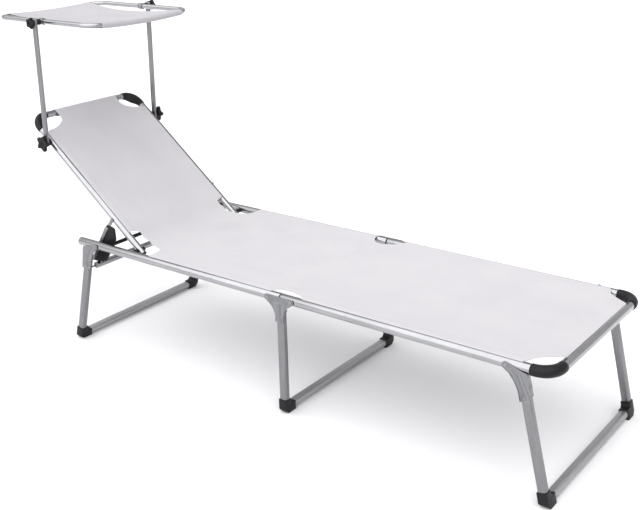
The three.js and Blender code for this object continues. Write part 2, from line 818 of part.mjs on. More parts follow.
// A half collar on the rail's outer side, with the bolt that the arm turns on. It goes through the rail.
function lowerClamp() {
  const outer = armPlace - armThickness / 2 - touchGap - backSide;
  const half = backRailRadius + clampWall;
  const block = roundedRectangle(outer - clampWall, half * 2, clampWall, 2)
    .map((p) => point(p.x + (outer + clampWall) / 2, p.y));
  const collar = alongX(shape(block), -clampWidth / 2, clampWidth / 2);
  const rail = alongX(shape(circle(backRailRadius + touchGap, roundSides)), -clampWidth, clampWidth);
  const bolt = pinAlongY(clampBoltDiameter / 2, smallSides,
    -backRailRadius - clampWall, knobBoltEnd() - backSide);
  const head = pinAlongY(clampBoltDiameter, roundSides,
    -backRailRadius - clampWall, -backRailRadius - touchGap);
  return join(cut(collar, rail), bolt, head).translate(0, backSide, 0);
}

// How far a clamp's bolt reaches into its knob.
function knobBoltEnd() {
  return armPlace + armThickness / 2 + touchGap + knobHubHeight + knobThickness / 2;
}

function buildBackrest() {
  const group = groupAt(lounger, -hingePlace, hingeHeight, reclineAngle);
  const clamps = groupAt(group, -armPivotUp, 0);
  for (const [side, sign] of leftAndRight) {
    place(group, `rail_back_${side}`, backRail(), "bright", sign);
    place(group, `corner_back_${side}`, backCorner(), "plastic", sign);
    place(group, `plug_back_${side}`, backTailPlug(), "plastic", sign);
    place(clamps, `clamp_lower_${side}`, lowerClamp(), "plastic", sign);
  }
  place(group, "bar_back_top", backTopBar(), "bright");
  place(group, "sling_back", backCloth(), "cloth");
  return group;
}

// Stay. It is drawn from its pivot towards -X, and its toothed side faces -Z.

// The tie tube's centre in the stay's own frame, when the backrest is turned up by some degrees more:
// how far along the bar, and how far from it on the toothed side.
function tubeInStay(more) {
  const recline = radians(reclineAngle + more);
  const angle = radians(stayAngle + (stayTurnShare - 1) * more);
  const pivotX = -hingePlace - stayPivotPlace * Math.cos(recline);
  const pivotZ = hingeHeight + stayPivotPlace * Math.sin(recline);
  const x = -headPivotPlace - tieTubePlace - pivotX;
  const z = railHeight - tieTubeDrop - pivotZ;
  return point(
    -x * Math.cos(angle) - z * Math.sin(angle),
    x * Math.sin(angle) - z * Math.cos(angle),
  );
}

// A point at some distance from the tube's path, on the stay's side of it.
function besideTubePath(more, distance) {
  const centre = tubeInStay(more);
  const ahead = tubeInStay(more + 1 / 2).sub(tubeInStay(more - 1 / 2)).normalize();
  return centre.add(point(ahead.y, -ahead.x).multiplyScalar(distance));
}

const rackTopShares = [[0.3, 0.42], [0.3, 0.58], [0.88, 1]];

// The rack's toothed side runs just clear of the tie tube's path, with notches that the tube rests in.
function rack() {
  const edge = tieTubeDiameter / 2 + tubeClearance;
  const back = -stayBarWidth / 3;
  const path = Array.from({ length: rackEdgeSteps + 1 }, (_, i) =>
    besideTubePath(rackEdgeFrom + ((rackEdgeTo - rackEdgeFrom) * i) / rackEdgeSteps, edge),
  ).filter((p) => p.y < rackWidth && p.y > back);
  const end = path[path.length - 1];
  const outline = [
    ...rackTopShares.map(([along, across]) => point(rackWidth * along, rackWidth * across)),
    point(path[0].x - (rackWidth - path[0].y), rackWidth),
    ...path,
    point(end.x, back),
    point(rackWidth / 2, back),
  ].map((p) => point(-p.x, -p.y));
  const notches = notchAngles.map((more) => {
    const centre = besideTubePath(more, notchDepth);
    return pinAlongY(tieTubeDiameter / 2, roundSides, -overrun, rackThickness + overrun,
      -centre.x, -centre.y);
  });
  const plate = alongY(shape(outline), 0, rackThickness);
  const rod = pinAlongY(tieRodDiameter / 2 - plateThickness + turningGap, smallSides, -overrun,
    rackThickness + overrun, -tieRodAlong, -tieRodAcross);
  return cut(plate, rod, ...notches).translate(0, rackInner, 0);
}

function stayBar() {
  const half = stayBarWidth / 2;
  const outline = [
    ...arc(0, 0, half, -90, 90, smallSides / 2),
    point(-stayBarLength + half, half),
    ...arc(-stayBarLength + half, 0, half, 90, 270, smallSides / 2).slice(1),
  ];
  const inner = stayBarPlace - stayBarThickness / 2;
  const bar = alongY(shape(outline), inner, inner + stayBarThickness);
  const head = backSide - backRailRadius - touchGap;
  return join(
    bar,
    pinAlongY(stayPinDiameter / 2, smallSides, head - rivetHeight / 2, inner + touchGap),
    pinAlongY(stayPinDiameter, roundSides, backSide + backRailRadius + touchGap, inner + touchGap),
    pinAlongY(hingeHeadDiameter / 2, roundSides, head - hingeHeadHeight / 2, head),
  );
}

// The rod between the two racks, stepped down where it goes through them.
function tieRod() {
  const outer = tieRodDiameter / 2;
  const end = rackInner + rackThickness;
  const rod = join(
    pinAlongY(outer, smallSides, touchGap - rackInner, rackInner - touchGap),
    pinAlongY(outer - plateThickness, smallSides, -end, end),
  );
  return rod.translate(-tieRodAlong, 0, -tieRodAcross);
}

function buildStay(backrest) {
  const group = groupAt(backrest, -stayPivotPlace, 0, -stayAngle - reclineAngle);
  for (const [side, sign] of leftAndRight) {
    place(group, `stay_bar_${side}`, stayBar(), "brushed", sign);
    place(group, `stay_rack_${side}`, rack(), "plastic", sign);
  }
  place(group, "stay_rod", tieRod(), "plastic");
}

// Canopy arms, upright from their lower pivot

function arm() {
  const half = armWidth / 2;
  const top = armLength + armOvershoot;
  const inner = armPlace - armThickness / 2;
  const section = shape(roundedRectangle(armWidth, armThickness, armThickness / 2.5, 2));
  const hole = (z) => pinAlongY(clampBoltDiameter / 2 + turningGap, smallSides, inner - overrun,
    inner + armThickness + overrun, 0, z);
  const bar = alongZ(section, -armOvershoot, top).translate(0, armPlace, 0);
  const round = [[-armOvershoot, -1], [top, 1]].map(([end, up]) => {
    const corner = alongY(shape([
      point(-half - overrun, end + up * overrun),
      point(-half - overrun, end - up * half / 2),
      point(-half, end - up * half / 2),
      ...arc(-half / 2, end - up * half / 2, half / 2, 180, 180 - up * 90, 3).slice(1),
      point(half / 2, end),
      ...arc(half / 2, end - up * half / 2, half / 2, up * 90, 0, 3).slice(1),
      point(half + overrun, end - up * half / 2),
      point(half + overrun, end + up * overrun),
    ]), inner - overrun, inner + armThickness + overrun);
    return corner;
  });
  return cut(bar, hole(0), hole(armLength), ...round);
}

// Canopy, level, about the middle of its side tubes

function bowAt(y) {
  return -canopyBow * Math.max(0, 1 - (y / (canopyWide / 2)) ** 2);
}

// One loop of tube, whose end stretches bend down a little in the middle.
function canopyFrame() {
  const x = canopyLong / 2 - canopyBend;
  const y = canopyWide / 2 - canopyBend;
  const stations = [];
  for (const [cornerX, cornerY, from] of [[x, y, 0], [-x, y, 90], [-x, -y, 180], [x, -y, 270]]) {
    for (let i = 0; i <= bendSteps - 2; i++) {
      const angle = from + (90 * i) / (bendSteps - 2);
      const spot = arc(cornerX, cornerY, canopyBend, angle, angle, 1)[0];
      stations.push([spot.x, spot.y, angle]);
    }
    if (from === 0 || from === 180) continue;
    const along = Math.sign(cornerX) * canopyLong / 2;
    for (let i = 1; i < clothSteps; i++) {
      const share = 1 - (2 * i) / clothSteps;
      stations.push([along, cornerY * share, from + 90]);
    }
  }
  const rings = stations.map(([atX, atY, angle]) =>
    circle(canopyTubeDiameter / 2, smallSides).map((p) =>
      new THREE.Vector3(p.x, 0, p.y).applyAxisAngle(new THREE.Vector3(0, 0, 1), radians(angle))
        .add(new THREE.Vector3(atX, atY, bowAt(atY)))));
  return loft(rings, true);
}

// The outline of a strip of some thickness along a line of points.
function strip(line, thickness) {
  const side = (sign) => line.map((p, i) => {
    const before = line[Math.max(0, i - 1)];
    const after = line[Math.min(line.length - 1, i + 1)];
    const ahead = point(after.x - before.x, after.y - before.y).normalize();
    return point(p.x - ahead.y * sign * thickness / 2, p.y + ahead.x * sign * thickness / 2);
  });
  return [...side(-1), ...side(1).reverse()];
}

// The cloth goes over each end tube and back under it in a sewn sleeve, and sags between them.
// Its free edges draw in towards the middle.
function canopyCloth() {
  const wrap = canopyTubeDiameter / 2 + touchGap + fabricThickness / 2;
  const half = canopyLong / 2;
  const between = Array.from({ length: clothSteps - 1 }, (_, i) => {
    const share = -1 + (2 * (i + 1)) / clothSteps;
    return point(half * share, wrap - canopySag * (1 - share * share));
  });
  const line = [
    ...arc(-half, 0, wrap, sleeveTurn, -270, roundSides / 2),
    ...between,
    ...arc(half, 0, wrap, 90, -180 - sleeveTurn, roundSides / 2),
  ];
  const outline = strip(line, fabricThickness);
  const rings = Array.from({ length: clothSteps + 1 }, (_, i) => {
    const share = -1 + (2 * i) / clothSteps;
    return outline.map((p) => {
      const inset = canopyClothInset * Math.max(0, 1 - (p.x / half) ** 2);
      const y = share * (canopyClothHalf - inset);
      return new THREE.Vector3(p.x, y, p.y + bowAt(y));
    });
  });
  return loft(rings, false, outline);
}

// A clamp round the canopy's side tube, with a boss that reaches to the arm and the arm's bolt.
function upperClamp() {
  const inner = canopyTubeDiameter / 2 + touchGap;
  const outer = inner + clampWall;
  const armInner = armPlace - armThickness / 2 - touchGap;
  const ring = alongX(shape(circle(outer, roundSides)), -clampWidth / 2, clampWidth / 2)
    .translate(0, canopyWide / 2, 0);
  const bore = alongX(shape(circle(inner, roundSides)), -clampWidth, clampWidth)
    .translate(0, canopyWide / 2, 0);
  const boss = new THREE.CylinderGeometry(armWidth / 2, outer, armInner - canopyWide / 2, roundSides)
    .translate(0, (armInner + canopyWide / 2) / 2, 0);
  const bolt = pinAlongY(clampBoltDiameter / 2, smallSides, armInner - overrun, knobBoltEnd());
  return join(cut(join(ring, boss), bore), bolt);
}

// Star knob with rounded lobes and a hub, bored for the bolt
function knob() {
  const count = knobLobes * lobeSteps;
  const middle = (knobDiameter + knobWaist) / 4;
  const wave = (knobDiameter - knobWaist) / 4;
  const outline = Array.from({ length: count }, (_, i) => {
    const angle = (2 * Math.PI * i) / count;
    const radius = middle + wave * Math.cos(knobLobes * angle);
    return point(radius * Math.cos(angle), radius * Math.sin(angle));
  });
  const start = armPlace + armThickness / 2 + touchGap;
  const face = start + knobHubHeight;
  const star = alongY(shape(outline), face, face + knobThickness, knobBevel);
  const hub = pinAlongY(knobHubDiameter / 2, roundSides, start, face + knobBevel);
  const bore = pinAlongY(clampBoltDiameter / 2 + turningGap, smallSides, start - overrun,
    knobBoltEnd() + touchGap);
  return cut(join(star, hub), bore);
}

function buildCanopy(backrest) {
  const arms = groupAt(backrest, -armPivotUp, 0, armLean - reclineAngle);
  const canopy = groupAt(arms, 0, armLength, -armLean);
  for (const [side, sign] of leftAndRight) {
    place(arms, `arm_${side}`, arm(), "brushed", sign);
    place(arms, `knob_lower_${side}`, knob(), "plastic", sign);
    place(canopy, `clamp_upper_${side}`, upperClamp(), "plastic", sign);
    place(canopy, `knob_upper_${side}`, knob(), "plastic", sign);
  }
  place(canopy, "canopy_frame", canopyFrame(), "bright");
  place(canopy, "canopy_cloth", canopyCloth(), "cloth");
}

// The two halves of the long frame

function buildFrame() {
  const group = groupAt(lounger, 0, 0);
  const fold = foldGap / 2;
  for (const [side, sign] of leftAndRight) {
    const head = sideRail(-headRailEnd, -fold, -headPivotPlace, -foldPinPlace);
    const foot = sideRail(fold, footBarPlace - footBend - footSleeveStraight - touchGap,
      foldPinPlace, footPivotPlace);
    place(group, `rail_head_${side}`, head, "bright", sign);
    place(group, `cap_head_${side}`, railCap(), "cap", sign);
    place(group, `hinge_bolt_${side}`, hingeBolt(), "plastic", sign);
    place(group, `rail_foot_${side}`, foot, "bright", sign);
    place(group, `corner_foot_${side}`, footCorner(), "plastic", sign);
  }
  place(group, "bar_foot_end", footBar(), "bright");
  place(group, "sling_seat", seatCloth(), "cloth");
  place(group, "sling_foot", footCloth(), "cloth");
}

buildFrame();
buildMiddleLeg();
buildEndLegs("foot", footPivotPlace, 1, footLegLean, endBracket(footLegLean, Infinity));
const headLegs = buildEndLegs("head", headPivotPlace, -1, headLegLean, headBracket());
place(headLegs, "tie_tube", tieTube(), "brushed");
const backrest = buildBackrest();
buildStay(backrest);
buildCanopy(backrest);

// The origin is on the ground, under the middle of the whole lounger.
const box = new THREE.Box3().setFromObject(lounger, true);
const middle = box.getCenter(new THREE.Vector3());
lounger.position.set(-middle.x, -middle.y, -box.min.z);
lounger.updateMatrixWorld(true);

export default lounger;
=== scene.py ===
import json
import math
from functools import partial

import bmesh
import bpy
from mathutils import Matrix, Vector
from mathutils.geometry import tessellate_polygon


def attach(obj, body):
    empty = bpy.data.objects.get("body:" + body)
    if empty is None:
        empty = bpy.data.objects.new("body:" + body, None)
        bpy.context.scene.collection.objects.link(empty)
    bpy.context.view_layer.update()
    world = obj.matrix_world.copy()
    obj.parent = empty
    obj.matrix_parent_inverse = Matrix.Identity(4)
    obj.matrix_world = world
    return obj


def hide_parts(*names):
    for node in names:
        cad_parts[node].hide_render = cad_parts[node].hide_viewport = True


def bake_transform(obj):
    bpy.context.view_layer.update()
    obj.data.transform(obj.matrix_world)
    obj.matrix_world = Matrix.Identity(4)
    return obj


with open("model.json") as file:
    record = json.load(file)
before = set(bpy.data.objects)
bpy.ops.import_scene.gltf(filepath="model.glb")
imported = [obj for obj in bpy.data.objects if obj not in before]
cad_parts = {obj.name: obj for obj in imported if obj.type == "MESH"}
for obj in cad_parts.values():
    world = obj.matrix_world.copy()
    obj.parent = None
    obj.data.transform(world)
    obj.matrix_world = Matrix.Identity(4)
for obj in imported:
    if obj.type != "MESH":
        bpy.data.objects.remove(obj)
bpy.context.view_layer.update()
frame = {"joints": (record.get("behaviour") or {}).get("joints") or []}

# Places, from the frame's joints. Shapes below are drawn in millimetres about them.
MM = 0.001
SCALE = Matrix.Scale(MM, 4)
MIRROR_X = Matrix.Scale(-1, 4, (1, 0, 0))
MIRROR_Y = Matrix.Scale(-1, 4, (0, 1, 0))
JOINTS = {joint["name"]: Vector(joint["pos_m"]) for joint in frame["joints"]}

# Angles in degrees, in the pose of the photograph
RECLINE = 38.5
STAY_ANGLE = 57
ARM_LEAN = 1.8
FOOT_LEAN = 13.4
HEAD_LEAN = 15.4
STAY_RATIO = 2.2  # the stay's turn for each degree of the backrest's


def turned(place, degrees=0.0):
    return Matrix.Translation(place) @ Matrix.Rotation(math.radians(degrees), 4, "Y")


fold_place = (JOINTS["mid_leg_fold"] + JOINTS["foot_frame_fold"]) / 2
frame_at = Matrix.Translation((fold_place.x, 0, 0)) @ SCALE
back_at = turned(JOINTS["backrest_recline"], RECLINE) @ SCALE
stay_at = turned(JOINTS["stay_swing"], -STAY_ANGLE) @ SCALE
arms_at = turned(JOINTS["canopy_arm_swing"], ARM_LEAN) @ SCALE
canopy_at = turned(JOINTS["canopy_tilt"]) @ SCALE
foot_leg_at = Matrix.Translation(JOINTS["foot_leg_fold"]) @ SCALE
head_leg_at = Matrix.Translation(JOINTS["head_leg_fold"]) @ MIRROR_X @ SCALE
SIDES = (("left", Matrix.Identity(4)), ("right", MIRROR_Y))

# Sizes in millimetres
GAP = 0.3  # that pieces keep where they touch
RAIL_Z = fold_place.z / MM
RAIL_Y = 261.0
RAIL_R = 13.0
FOLD_PIN = 40.0
HEAD_PIN = -732.0
FOOT_PIN = 673.0
HINGE_X = -593.0
BAR_X = 785.0
BACK_Y = 215.7
BACK_R = 10.5
BACK_LONG = 572.0
FOOT_BEND = 46.0
BACK_BEND = 45.0
SLEEVE = 8.0  # a corner's straight end
PLATE_IN = 274.8
PLATE_OUT = 276.3
PIVOT_HOLE = 4.4
LEG_Y = 264.5
LEG_WIDE = 24.0
LEG_DEEP = 20.0
LEG_OFFSET = 34.0  # from an end leg's pivot across to its middle line
BLOCK_WALL = 1.6
BLOCK_LONG = 44.0
BAR_HIGH = 16.0  # the crossbars' middle above the ground
TIE_X, TIE_Z, TIE_R = 38.0, -78.0, 10.0  # the tie tube, from the head leg's pivot
TIE_END = 246.0
STAY_PIVOT = 131.0  # from the hinge, along the backrest
ROD_X, ROD_Z = -80.0, -33.0
RACK_IN, RACK_OUT = 231.6, 237.6
ARM_Y = 234.5
ARM_PIVOT = 468.6
ARM_LENGTH = 373.2
CANOPY_HALF_LONG = 217.5
CANOPY_HALF_WIDE = 205.0
CANOPY_BEND = 42.0
CANOPY_R = 7.5
CANOPY_BOW = 8.0
CLOTH = 1.1
SEAT_END = -300.0  # where the backrest's sheet meets the seat's
FOLD_CUT_HEAD = 37.0
FOLD_CUT_FOOT = 68.0

# Sizes that follow the photograph, where the CAD has others
HEAD_END = 810.0
BACK_SLOT = 12.0  # degrees by which the back rails' slot is turned inwards
BACK_WEB = 15.0  # by which the backrest's corners swell in their bend
KNOB_R = {"lower": 26.5, "upper": 17.5}
FOLD_CUT_DEPTHS = (26.0, 52.0)  # on the right and on the left
CANOPY_SAG = 12.0
CANOPY_DRAW = 17.0  # by which the free edges draw in


def cos(degrees):
    return math.cos(math.radians(degrees))


def sin(degrees):
    return math.sin(math.radians(degrees))


# Outlines in a plane


def arc(x, y, radius, start, end, steps):
    angles = [start + (end - start) * i / steps for i in range(steps + 1)]
    return [(x + radius * cos(a), y + radius * sin(a)) for a in angles]


def circle(radius, steps, x=0.0, y=0.0):
    return arc(x, y, radius, 0, 360, steps)[1:]


def rounded_box(width, height, corner, steps=6):
    x, y = width / 2 - corner, height / 2 - corner
    return [
        *arc(x, y, corner, 0, 90, steps),
        *arc(-x, y, corner, 90, 180, steps),
        *arc(-x, -y, corner, 180, 270, steps),
        *arc(x, -y, corner, 270, 360, steps),
    ]


def fillet(points, radius, steps=4):
    """The outline with each of its corners rounded off."""
    out = []
    for i, here in enumerate(points):
        p = Vector(here)
        before = Vector(points[i - 1]) - p
        after = Vector(points[(i + 1) % len(points)]) - p
        reach = min(radius, before.length * 0.45, after.length * 0.45)
        a, b = p + before.normalized() * reach, p + after.normalized() * reach
        for k in range(steps + 1):
            t = k / steps
            out.append(tuple(a * (1 - t) ** 2 + p * (2 * t * (1 - t)) + b * t * t))
    return out


def curve_through(points, steps=8):
    """A smooth line through a few points."""
    p = [Vector(q) for q in points]
    p = [2 * p[0] - p[1], *p, 2 * p[-1] - p[-2]]
    out = []
    for i in range(1, len(p) - 2):
        for k in range(steps):
            t = k / steps
            a, b, c, d = p[i - 1 : i + 3]
            square = 2 * a - 5 * b + 4 * c - d
            cube = 3 * b - a - 3 * c + d
            out.append(tuple(0.5 * (2 * b + (c - a) * t + square * t * t + cube * t**3)))
    out.append(tuple(p[-2]))
    return out


def area_of(loop):
    return sum(
        loop[i - 1][0] * loop[i][1] - loop[i][0] * loop[i - 1][1] for i in range(len(loop))
    )


def inset(loop, distance):
    """The loop moved to its left by a distance at each point."""
    if not distance:
        return list(loop)
    out = []
    for i, here in enumerate(loop):
        a = (Vector(here) - Vector(loop[i - 1])).normalized()
        b = (Vector(loop[(i + 1) % len(loop)]) - Vector(here)).normalized()
        along = a + b
        if along.length < 1e-6:
            along = a
        along.normalize()
        side = Vector((-along.y, along.x))
        stretch = 1 / max(0.5, abs(side.dot(Vector((-a.y, a.x)))))
        out.append(tuple(Vector(here) + side * distance * stretch))
    return out


# Forms


def grid_faces(rows, columns, closed=True):
    """Four-sided faces between rows of points. A closed row is a ring."""
    faces = []
    for r in range(rows - 1):
        for k in range(columns if closed else columns - 1):
            a, b = r * columns + k, r * columns + (k + 1) % columns
            faces.append((a, b, b + columns, a + columns))
    return faces


class Form:
    """Points in millimetres, faces, which faces are flat, and where each point is on the grain."""

    def __init__(self):
        self.points, self.faces, self.flat, self.grain = [], [], [], []

    def add(self, points, faces, grain):
        first = len(self.points)
        self.points += [Vector(p) for p in points]
        self.grain += [tuple(g) for g in grain]
        self.faces += [tuple(first + i for i in face) for face in faces]
        self.flat += [False] * len(faces)
        return first

    def moved(self, matrix):
        self.points = [matrix @ p for p in self.points]
        return self

    def take(self, other):
        first = len(self.points)
        self.points += other.points
        self.grain += other.grain
        self.faces += [tuple(first + i for i in face) for face in other.faces]
        self.flat += other.flat
        return self

    def close_ends(self, rings, count):
        """One flat face over the first ring of points and one over the last."""
        for first in (0, (rings - 1) * count):
            self.faces.append(tuple(range(first, first + count)))
            self.flat.append(True)


def in_yz(u, v, w):
    return (w, u, v)


def in_xz(u, v, w):
    return (u, w, v)


def in_xy(u, v, w):
    return (u, v, w)


def prism(loops, start, end, plane, edge=0.4):
    """Loops in a plane drawn out from start to end, with rounded edges of some radius."""
    form = Form()
    loops = [list(loop) for loop in loops]
    if area_of(loops[0]) < 0:
        loops[0].reverse()
    for loop in loops[1:]:
        if area_of(loop) > 0:
            loop.reverse()
    angles = [0, 30, 60, 90] if edge else [90]
    near = [(edge * (1 - sin(a)), edge * (1 - cos(a))) for a in angles]
    rings = [(back, start + deep) for back, deep in near]
    rings += [(back, end - deep) for back, deep in reversed(near)]
    starts = []
    for loop in loops:
        around = [0.0]
        for i in range(1, len(loop)):
            around.append(around[-1] + (Vector(loop[i]) - Vector(loop[i - 1])).length)
        points, grain = [], []
        for back, w in rings:
            for k, (u, v) in enumerate(inset(loop, back)):
                points.append(plane(u, v, w))
                grain.append((w, around[k], 0.0))
        count = len(loop)
        starts.append((form.add(points, grid_faces(len(rings), count), grain), count))
    for ring in (0, len(rings) - 1):
        shrunk = [[Vector((u, v, 0)) for u, v in inset(loop, rings[ring][0])] for loop in loops]
        number = [first + ring * count + k for first, count in starts for k in range(count)]
        for triangle in tessellate_polygon(shrunk):
            form.faces.append(tuple(number[i] for i in triangle))
            form.flat.append(True)
    return form


def tube(path, radius, sides=32, closed=False, side=None):
    """A round bar along a path. radius is one number, or one for each point of the path, or for each
    point three: across the bend's plane, towards the bend's middle and away from it."""
    form = Form()
    path = [Vector(p) for p in path]
    radii = radius if hasattr(radius, "__len__") else [radius] * len(path)
    count = len(path)
    normal = side
    travelled = 0.0
    points, grain = [], []
    for i, here in enumerate(path):
        before = path[i - 1] if i or closed else here
        after = path[(i + 1) % count] if i < count - 1 or closed else here
        along = (after - before).normalized()
        if normal is None:
            normal = along.orthogonal()
        normal = (Vector(normal) - along * Vector(normal).dot(along)).normalized()
        other = along.cross(normal)
        if i:
            travelled += (here - path[i - 1]).length
        up, inner, outer = radii[i] if isinstance(radii[i], tuple) else (radii[i],) * 3
        for k in range(sides):
            a = 2 * math.pi * k / sides
            sideways = inner if a < math.pi else outer
            points.append(here + normal * math.cos(a) * up + other * math.sin(a) * sideways)
            grain.append((travelled, up * a, 0.0))
    faces = grid_faces(count, sides)
    if closed:
        last = (count - 1) * sides
        faces += [(last + k, last + (k + 1) % sides, (k + 1) % sides, k) for k in range(sides)]
    form.add(points, faces, grain)
    if not closed:
        form.close_ends(count, sides)
    return form


def turned_form(profile, x=0.0, z=0.0, sides=32, axis="Y"):
    """A form of revolution. The profile is (radius, how far along the axis), from axis to axis."""
    form = Form()
    points, grain, rings = [], [], []
    for radius, along in profile:
        count = sides if radius > 1e-6 else 1
        rings.append((len(points), count))
        for k in range(count):
            a = 2 * math.pi * k / count
            u, v = radius * math.cos(a), radius * math.sin(a)
            points.append((x + u, along, z + v) if axis == "Y" else (along, x + u, z + v))
            grain.append((radius * a, along, radius))
    faces = []
    for (a, n), (b, m) in zip(rings, rings[1:]):
        if n == 1 and m == 1:
            continue
        for k in range(sides):
            j = (k + 1) % sides
            if n == 1:
                faces.append((a, b + j, b + k))
            elif m == 1:
                faces.append((a + k, a + j, b))
            else:
                faces.append((a + k, a + j, b + j, b + k))
    form.add(points, faces, grain)
    return form


def pin(radius, start, end, x=0.0, z=0.0):
    """A plain round bar along Y."""
    return turned_form([(0, start), (radius, start), (radius, end), (0, end)], x, z)


def dome_head(radius, height, base, x, z, recess=0.0):
    """A rivet's or bolt's rounded head, outwards along Y from its base."""
    profile = [(0, base), (radius, base), (radius, base + height * 0.25)]
    for a in (25, 45, 65, 80):
        profile.append((radius * (0.35 + 0.65 * cos(a)), base + height * (0.25 + 0.75 * sin(a))))
    top = base + height
    if recess:
        profile += [(radius * 0.36, top), (radius * 0.33, top - recess), (0, top - recess)]
    else:
        profile += [(radius * 0.2, top), (0, top)]
    return turned_form(profile, x, z)


# Materials, each with its own grain


class Shader:
    """A node tree in short form. Inputs are given by name, as numbers or as another node's output."""

    def __init__(self, name):
        self.material = bpy.data.materials.new(name)
        self.material.use_nodes = True
        self.tree = self.material.node_tree
        self.surface = self.tree.nodes["Principled BSDF"]
        grain = self.node("ShaderNodeAttribute", attribute_name="grain")
        self.grain = grain.outputs["Vector"]

    def node(self, kind, inputs=None, **settings):
        made = self.tree.nodes.new(kind)
        for name, value in settings.items():
            setattr(made, name, value)
        for name, value in (inputs or {}).items():
            self.put(made, name, value)
        return made

    def put(self, node, name, value):
        socket = node.inputs[name]
        if isinstance(value, bpy.types.NodeSocket):
            self.tree.links.new(value, socket)
        else:
            socket.default_value = value

    def noise(self, scale, stretch=(1, 1, 1), detail=3.0, roughness=0.55, source=None):
        place = self.node("ShaderNodeMapping", {"Vector": source or self.grain, "Scale": stretch})
        made = self.node(
            "ShaderNodeTexNoise",
            {"Vector": place.outputs[0], "Scale": scale, "Detail": detail, "Roughness": roughness},
        )
        return made.outputs[0]

    def spread(self, value, low, high, out_low, out_high):
        made = self.node(
            "ShaderNodeMapRange",
            {"Value": value, "From Min": low, "From Max": high, "To Min": out_low, "To Max": out_high},
        )
        return made.outputs[0]

    def maths(self, operation, a, b=0.0):
        made = self.node("ShaderNodeMath", {0: a, 1: b}, operation=operation)
        return made.outputs[0]

    def mixed(self, share, a, b):
        made = self.node("ShaderNodeMix", data_type="RGBA")
        for index, value in ((0, share), (6, a), (7, b)):
            self.put(made, index, value)
        return made.outputs[2]

    def bump(self, height, strength, distance):
        made = self.node(
            "ShaderNodeBump", {"Height": height, "Strength": strength, "Distance": distance}
        )
        self.put(self.surface, "Normal", made.outputs[0])

    def set(self, **values):
        for name, value in values.items():
            self.put(self.surface, name.replace("_", " "), value)
        return self.material


def metal(name, dark, light, rough, streak, bumpy):
    """Drawn aluminium: fine lines along the grain, and a slow change of tone."""
    s = Shader(name)
    lines = s.noise(60, (1, 28, 1), detail=4)
    slow = s.noise(9, (1, 6, 1), detail=2)
    tone = s.maths("ADD", s.maths("MULTIPLY", lines, 0.6), s.maths("MULTIPLY", slow, 0.4))
    share = s.spread(tone, 0.35, 0.65, 0.0, 1.0)
    colour = s.mixed(share, (*dark, 1), (*light, 1))
    roughness = s.spread(lines, 0.3, 0.7, rough - streak, rough + streak)
    s.bump(lines, bumpy, 0.0004)
    return s.set(Base_Color=colour, Metallic=1.0, Roughness=roughness)


def plated(name, dark, light, rough):
    """Pressed steel with a dull plated skin, a little blotched."""
    s = Shader(name)
    blotches = s.noise(55, detail=5, roughness=0.6)
    fine = s.noise(700, detail=2)
    colour = s.mixed(s.spread(blotches, 0.38, 0.62, 0.0, 1.0), (*dark, 1), (*light, 1))
    s.bump(fine, 0.12, 0.0003)
    roughness = s.spread(blotches, 0.35, 0.65, rough + 0.07, rough - 0.05)
    return s.set(Base_Color=colour, Metallic=1.0, Roughness=roughness)


def moulded(name, base, rubbed, rough):
    """Moulded plastic with a fine spark-eroded grain and rubbed lighter patches."""
    s = Shader(name)
    grain = s.noise(1500, detail=2)
    patches = s.noise(38, detail=4, roughness=0.65)
    colour = s.mixed(s.spread(patches, 0.55, 0.8, 0.0, 0.55), (*base, 1), (*rubbed, 1))
    s.bump(grain, 0.22, 0.0003)
    roughness = s.spread(patches, 0.3, 0.7, rough - 0.06, rough + 0.1)
    return s.set(Base_Color=colour, Roughness=roughness, Specular_IOR_Level=0.22)


def sling_fabric(name, base, shade, hem):
    """Coated mesh fabric. Grain holds how far along, how far across, and how far from the hem."""
    s = Shader(name)
    parts = s.node("ShaderNodeSeparateXYZ", {0: s.grain})
    along, across, edge = parts.outputs
    pitch = 2 * math.pi / 0.0016
    warp = s.maths("SINE", s.maths("MULTIPLY", across, pitch))
    weft = s.maths("SINE", s.maths("MULTIPLY", along, pitch))
    weave = s.maths("MULTIPLY", warp, weft)
    cloudy = s.noise(7, detail=3)
    threads = s.noise(420, (0.12, 1, 1), detail=2)
    colour = s.mixed(s.spread(cloudy, 0.35, 0.65, 0.0, 1.0), (*base, 1), (*shade, 1))
    holes = s.spread(weave, 0.2, 1.0, 0.0, 0.22)
    colour = s.mixed(holes, colour, (*[c * 0.72 for c in shade], 1))
    colour = s.mixed(s.spread(threads, 0.35, 0.7, 0.0, 0.18), colour, (*hem, 1))
    # A row of stitches runs beside the hem.
    row = s.maths("LESS_THAN", s.maths("ABSOLUTE", s.maths("SUBTRACT", edge, 0.0225)), 0.0009)
    dash = s.maths("LESS_THAN", s.maths("FRACT", s.maths("MULTIPLY", along, 250.0)), 0.7)
    stitched = s.maths("MULTIPLY", row, s.maths("MULTIPLY", dash, 0.3))
    colour = s.mixed(stitched, colour, (*[c * 0.45 for c in shade], 1))
    height = s.maths("SUBTRACT", weave, s.maths("MULTIPLY", stitched, 2.0))
    s.bump(height, 0.25, 0.0003)
    return s.set(
        Base_Color=colour,
        Roughness=s.spread(cloudy, 0.3, 0.7, 0.62, 0.74),
        Sheen_Weight=0.15,
        Sheen_Roughness=0.5,
    )


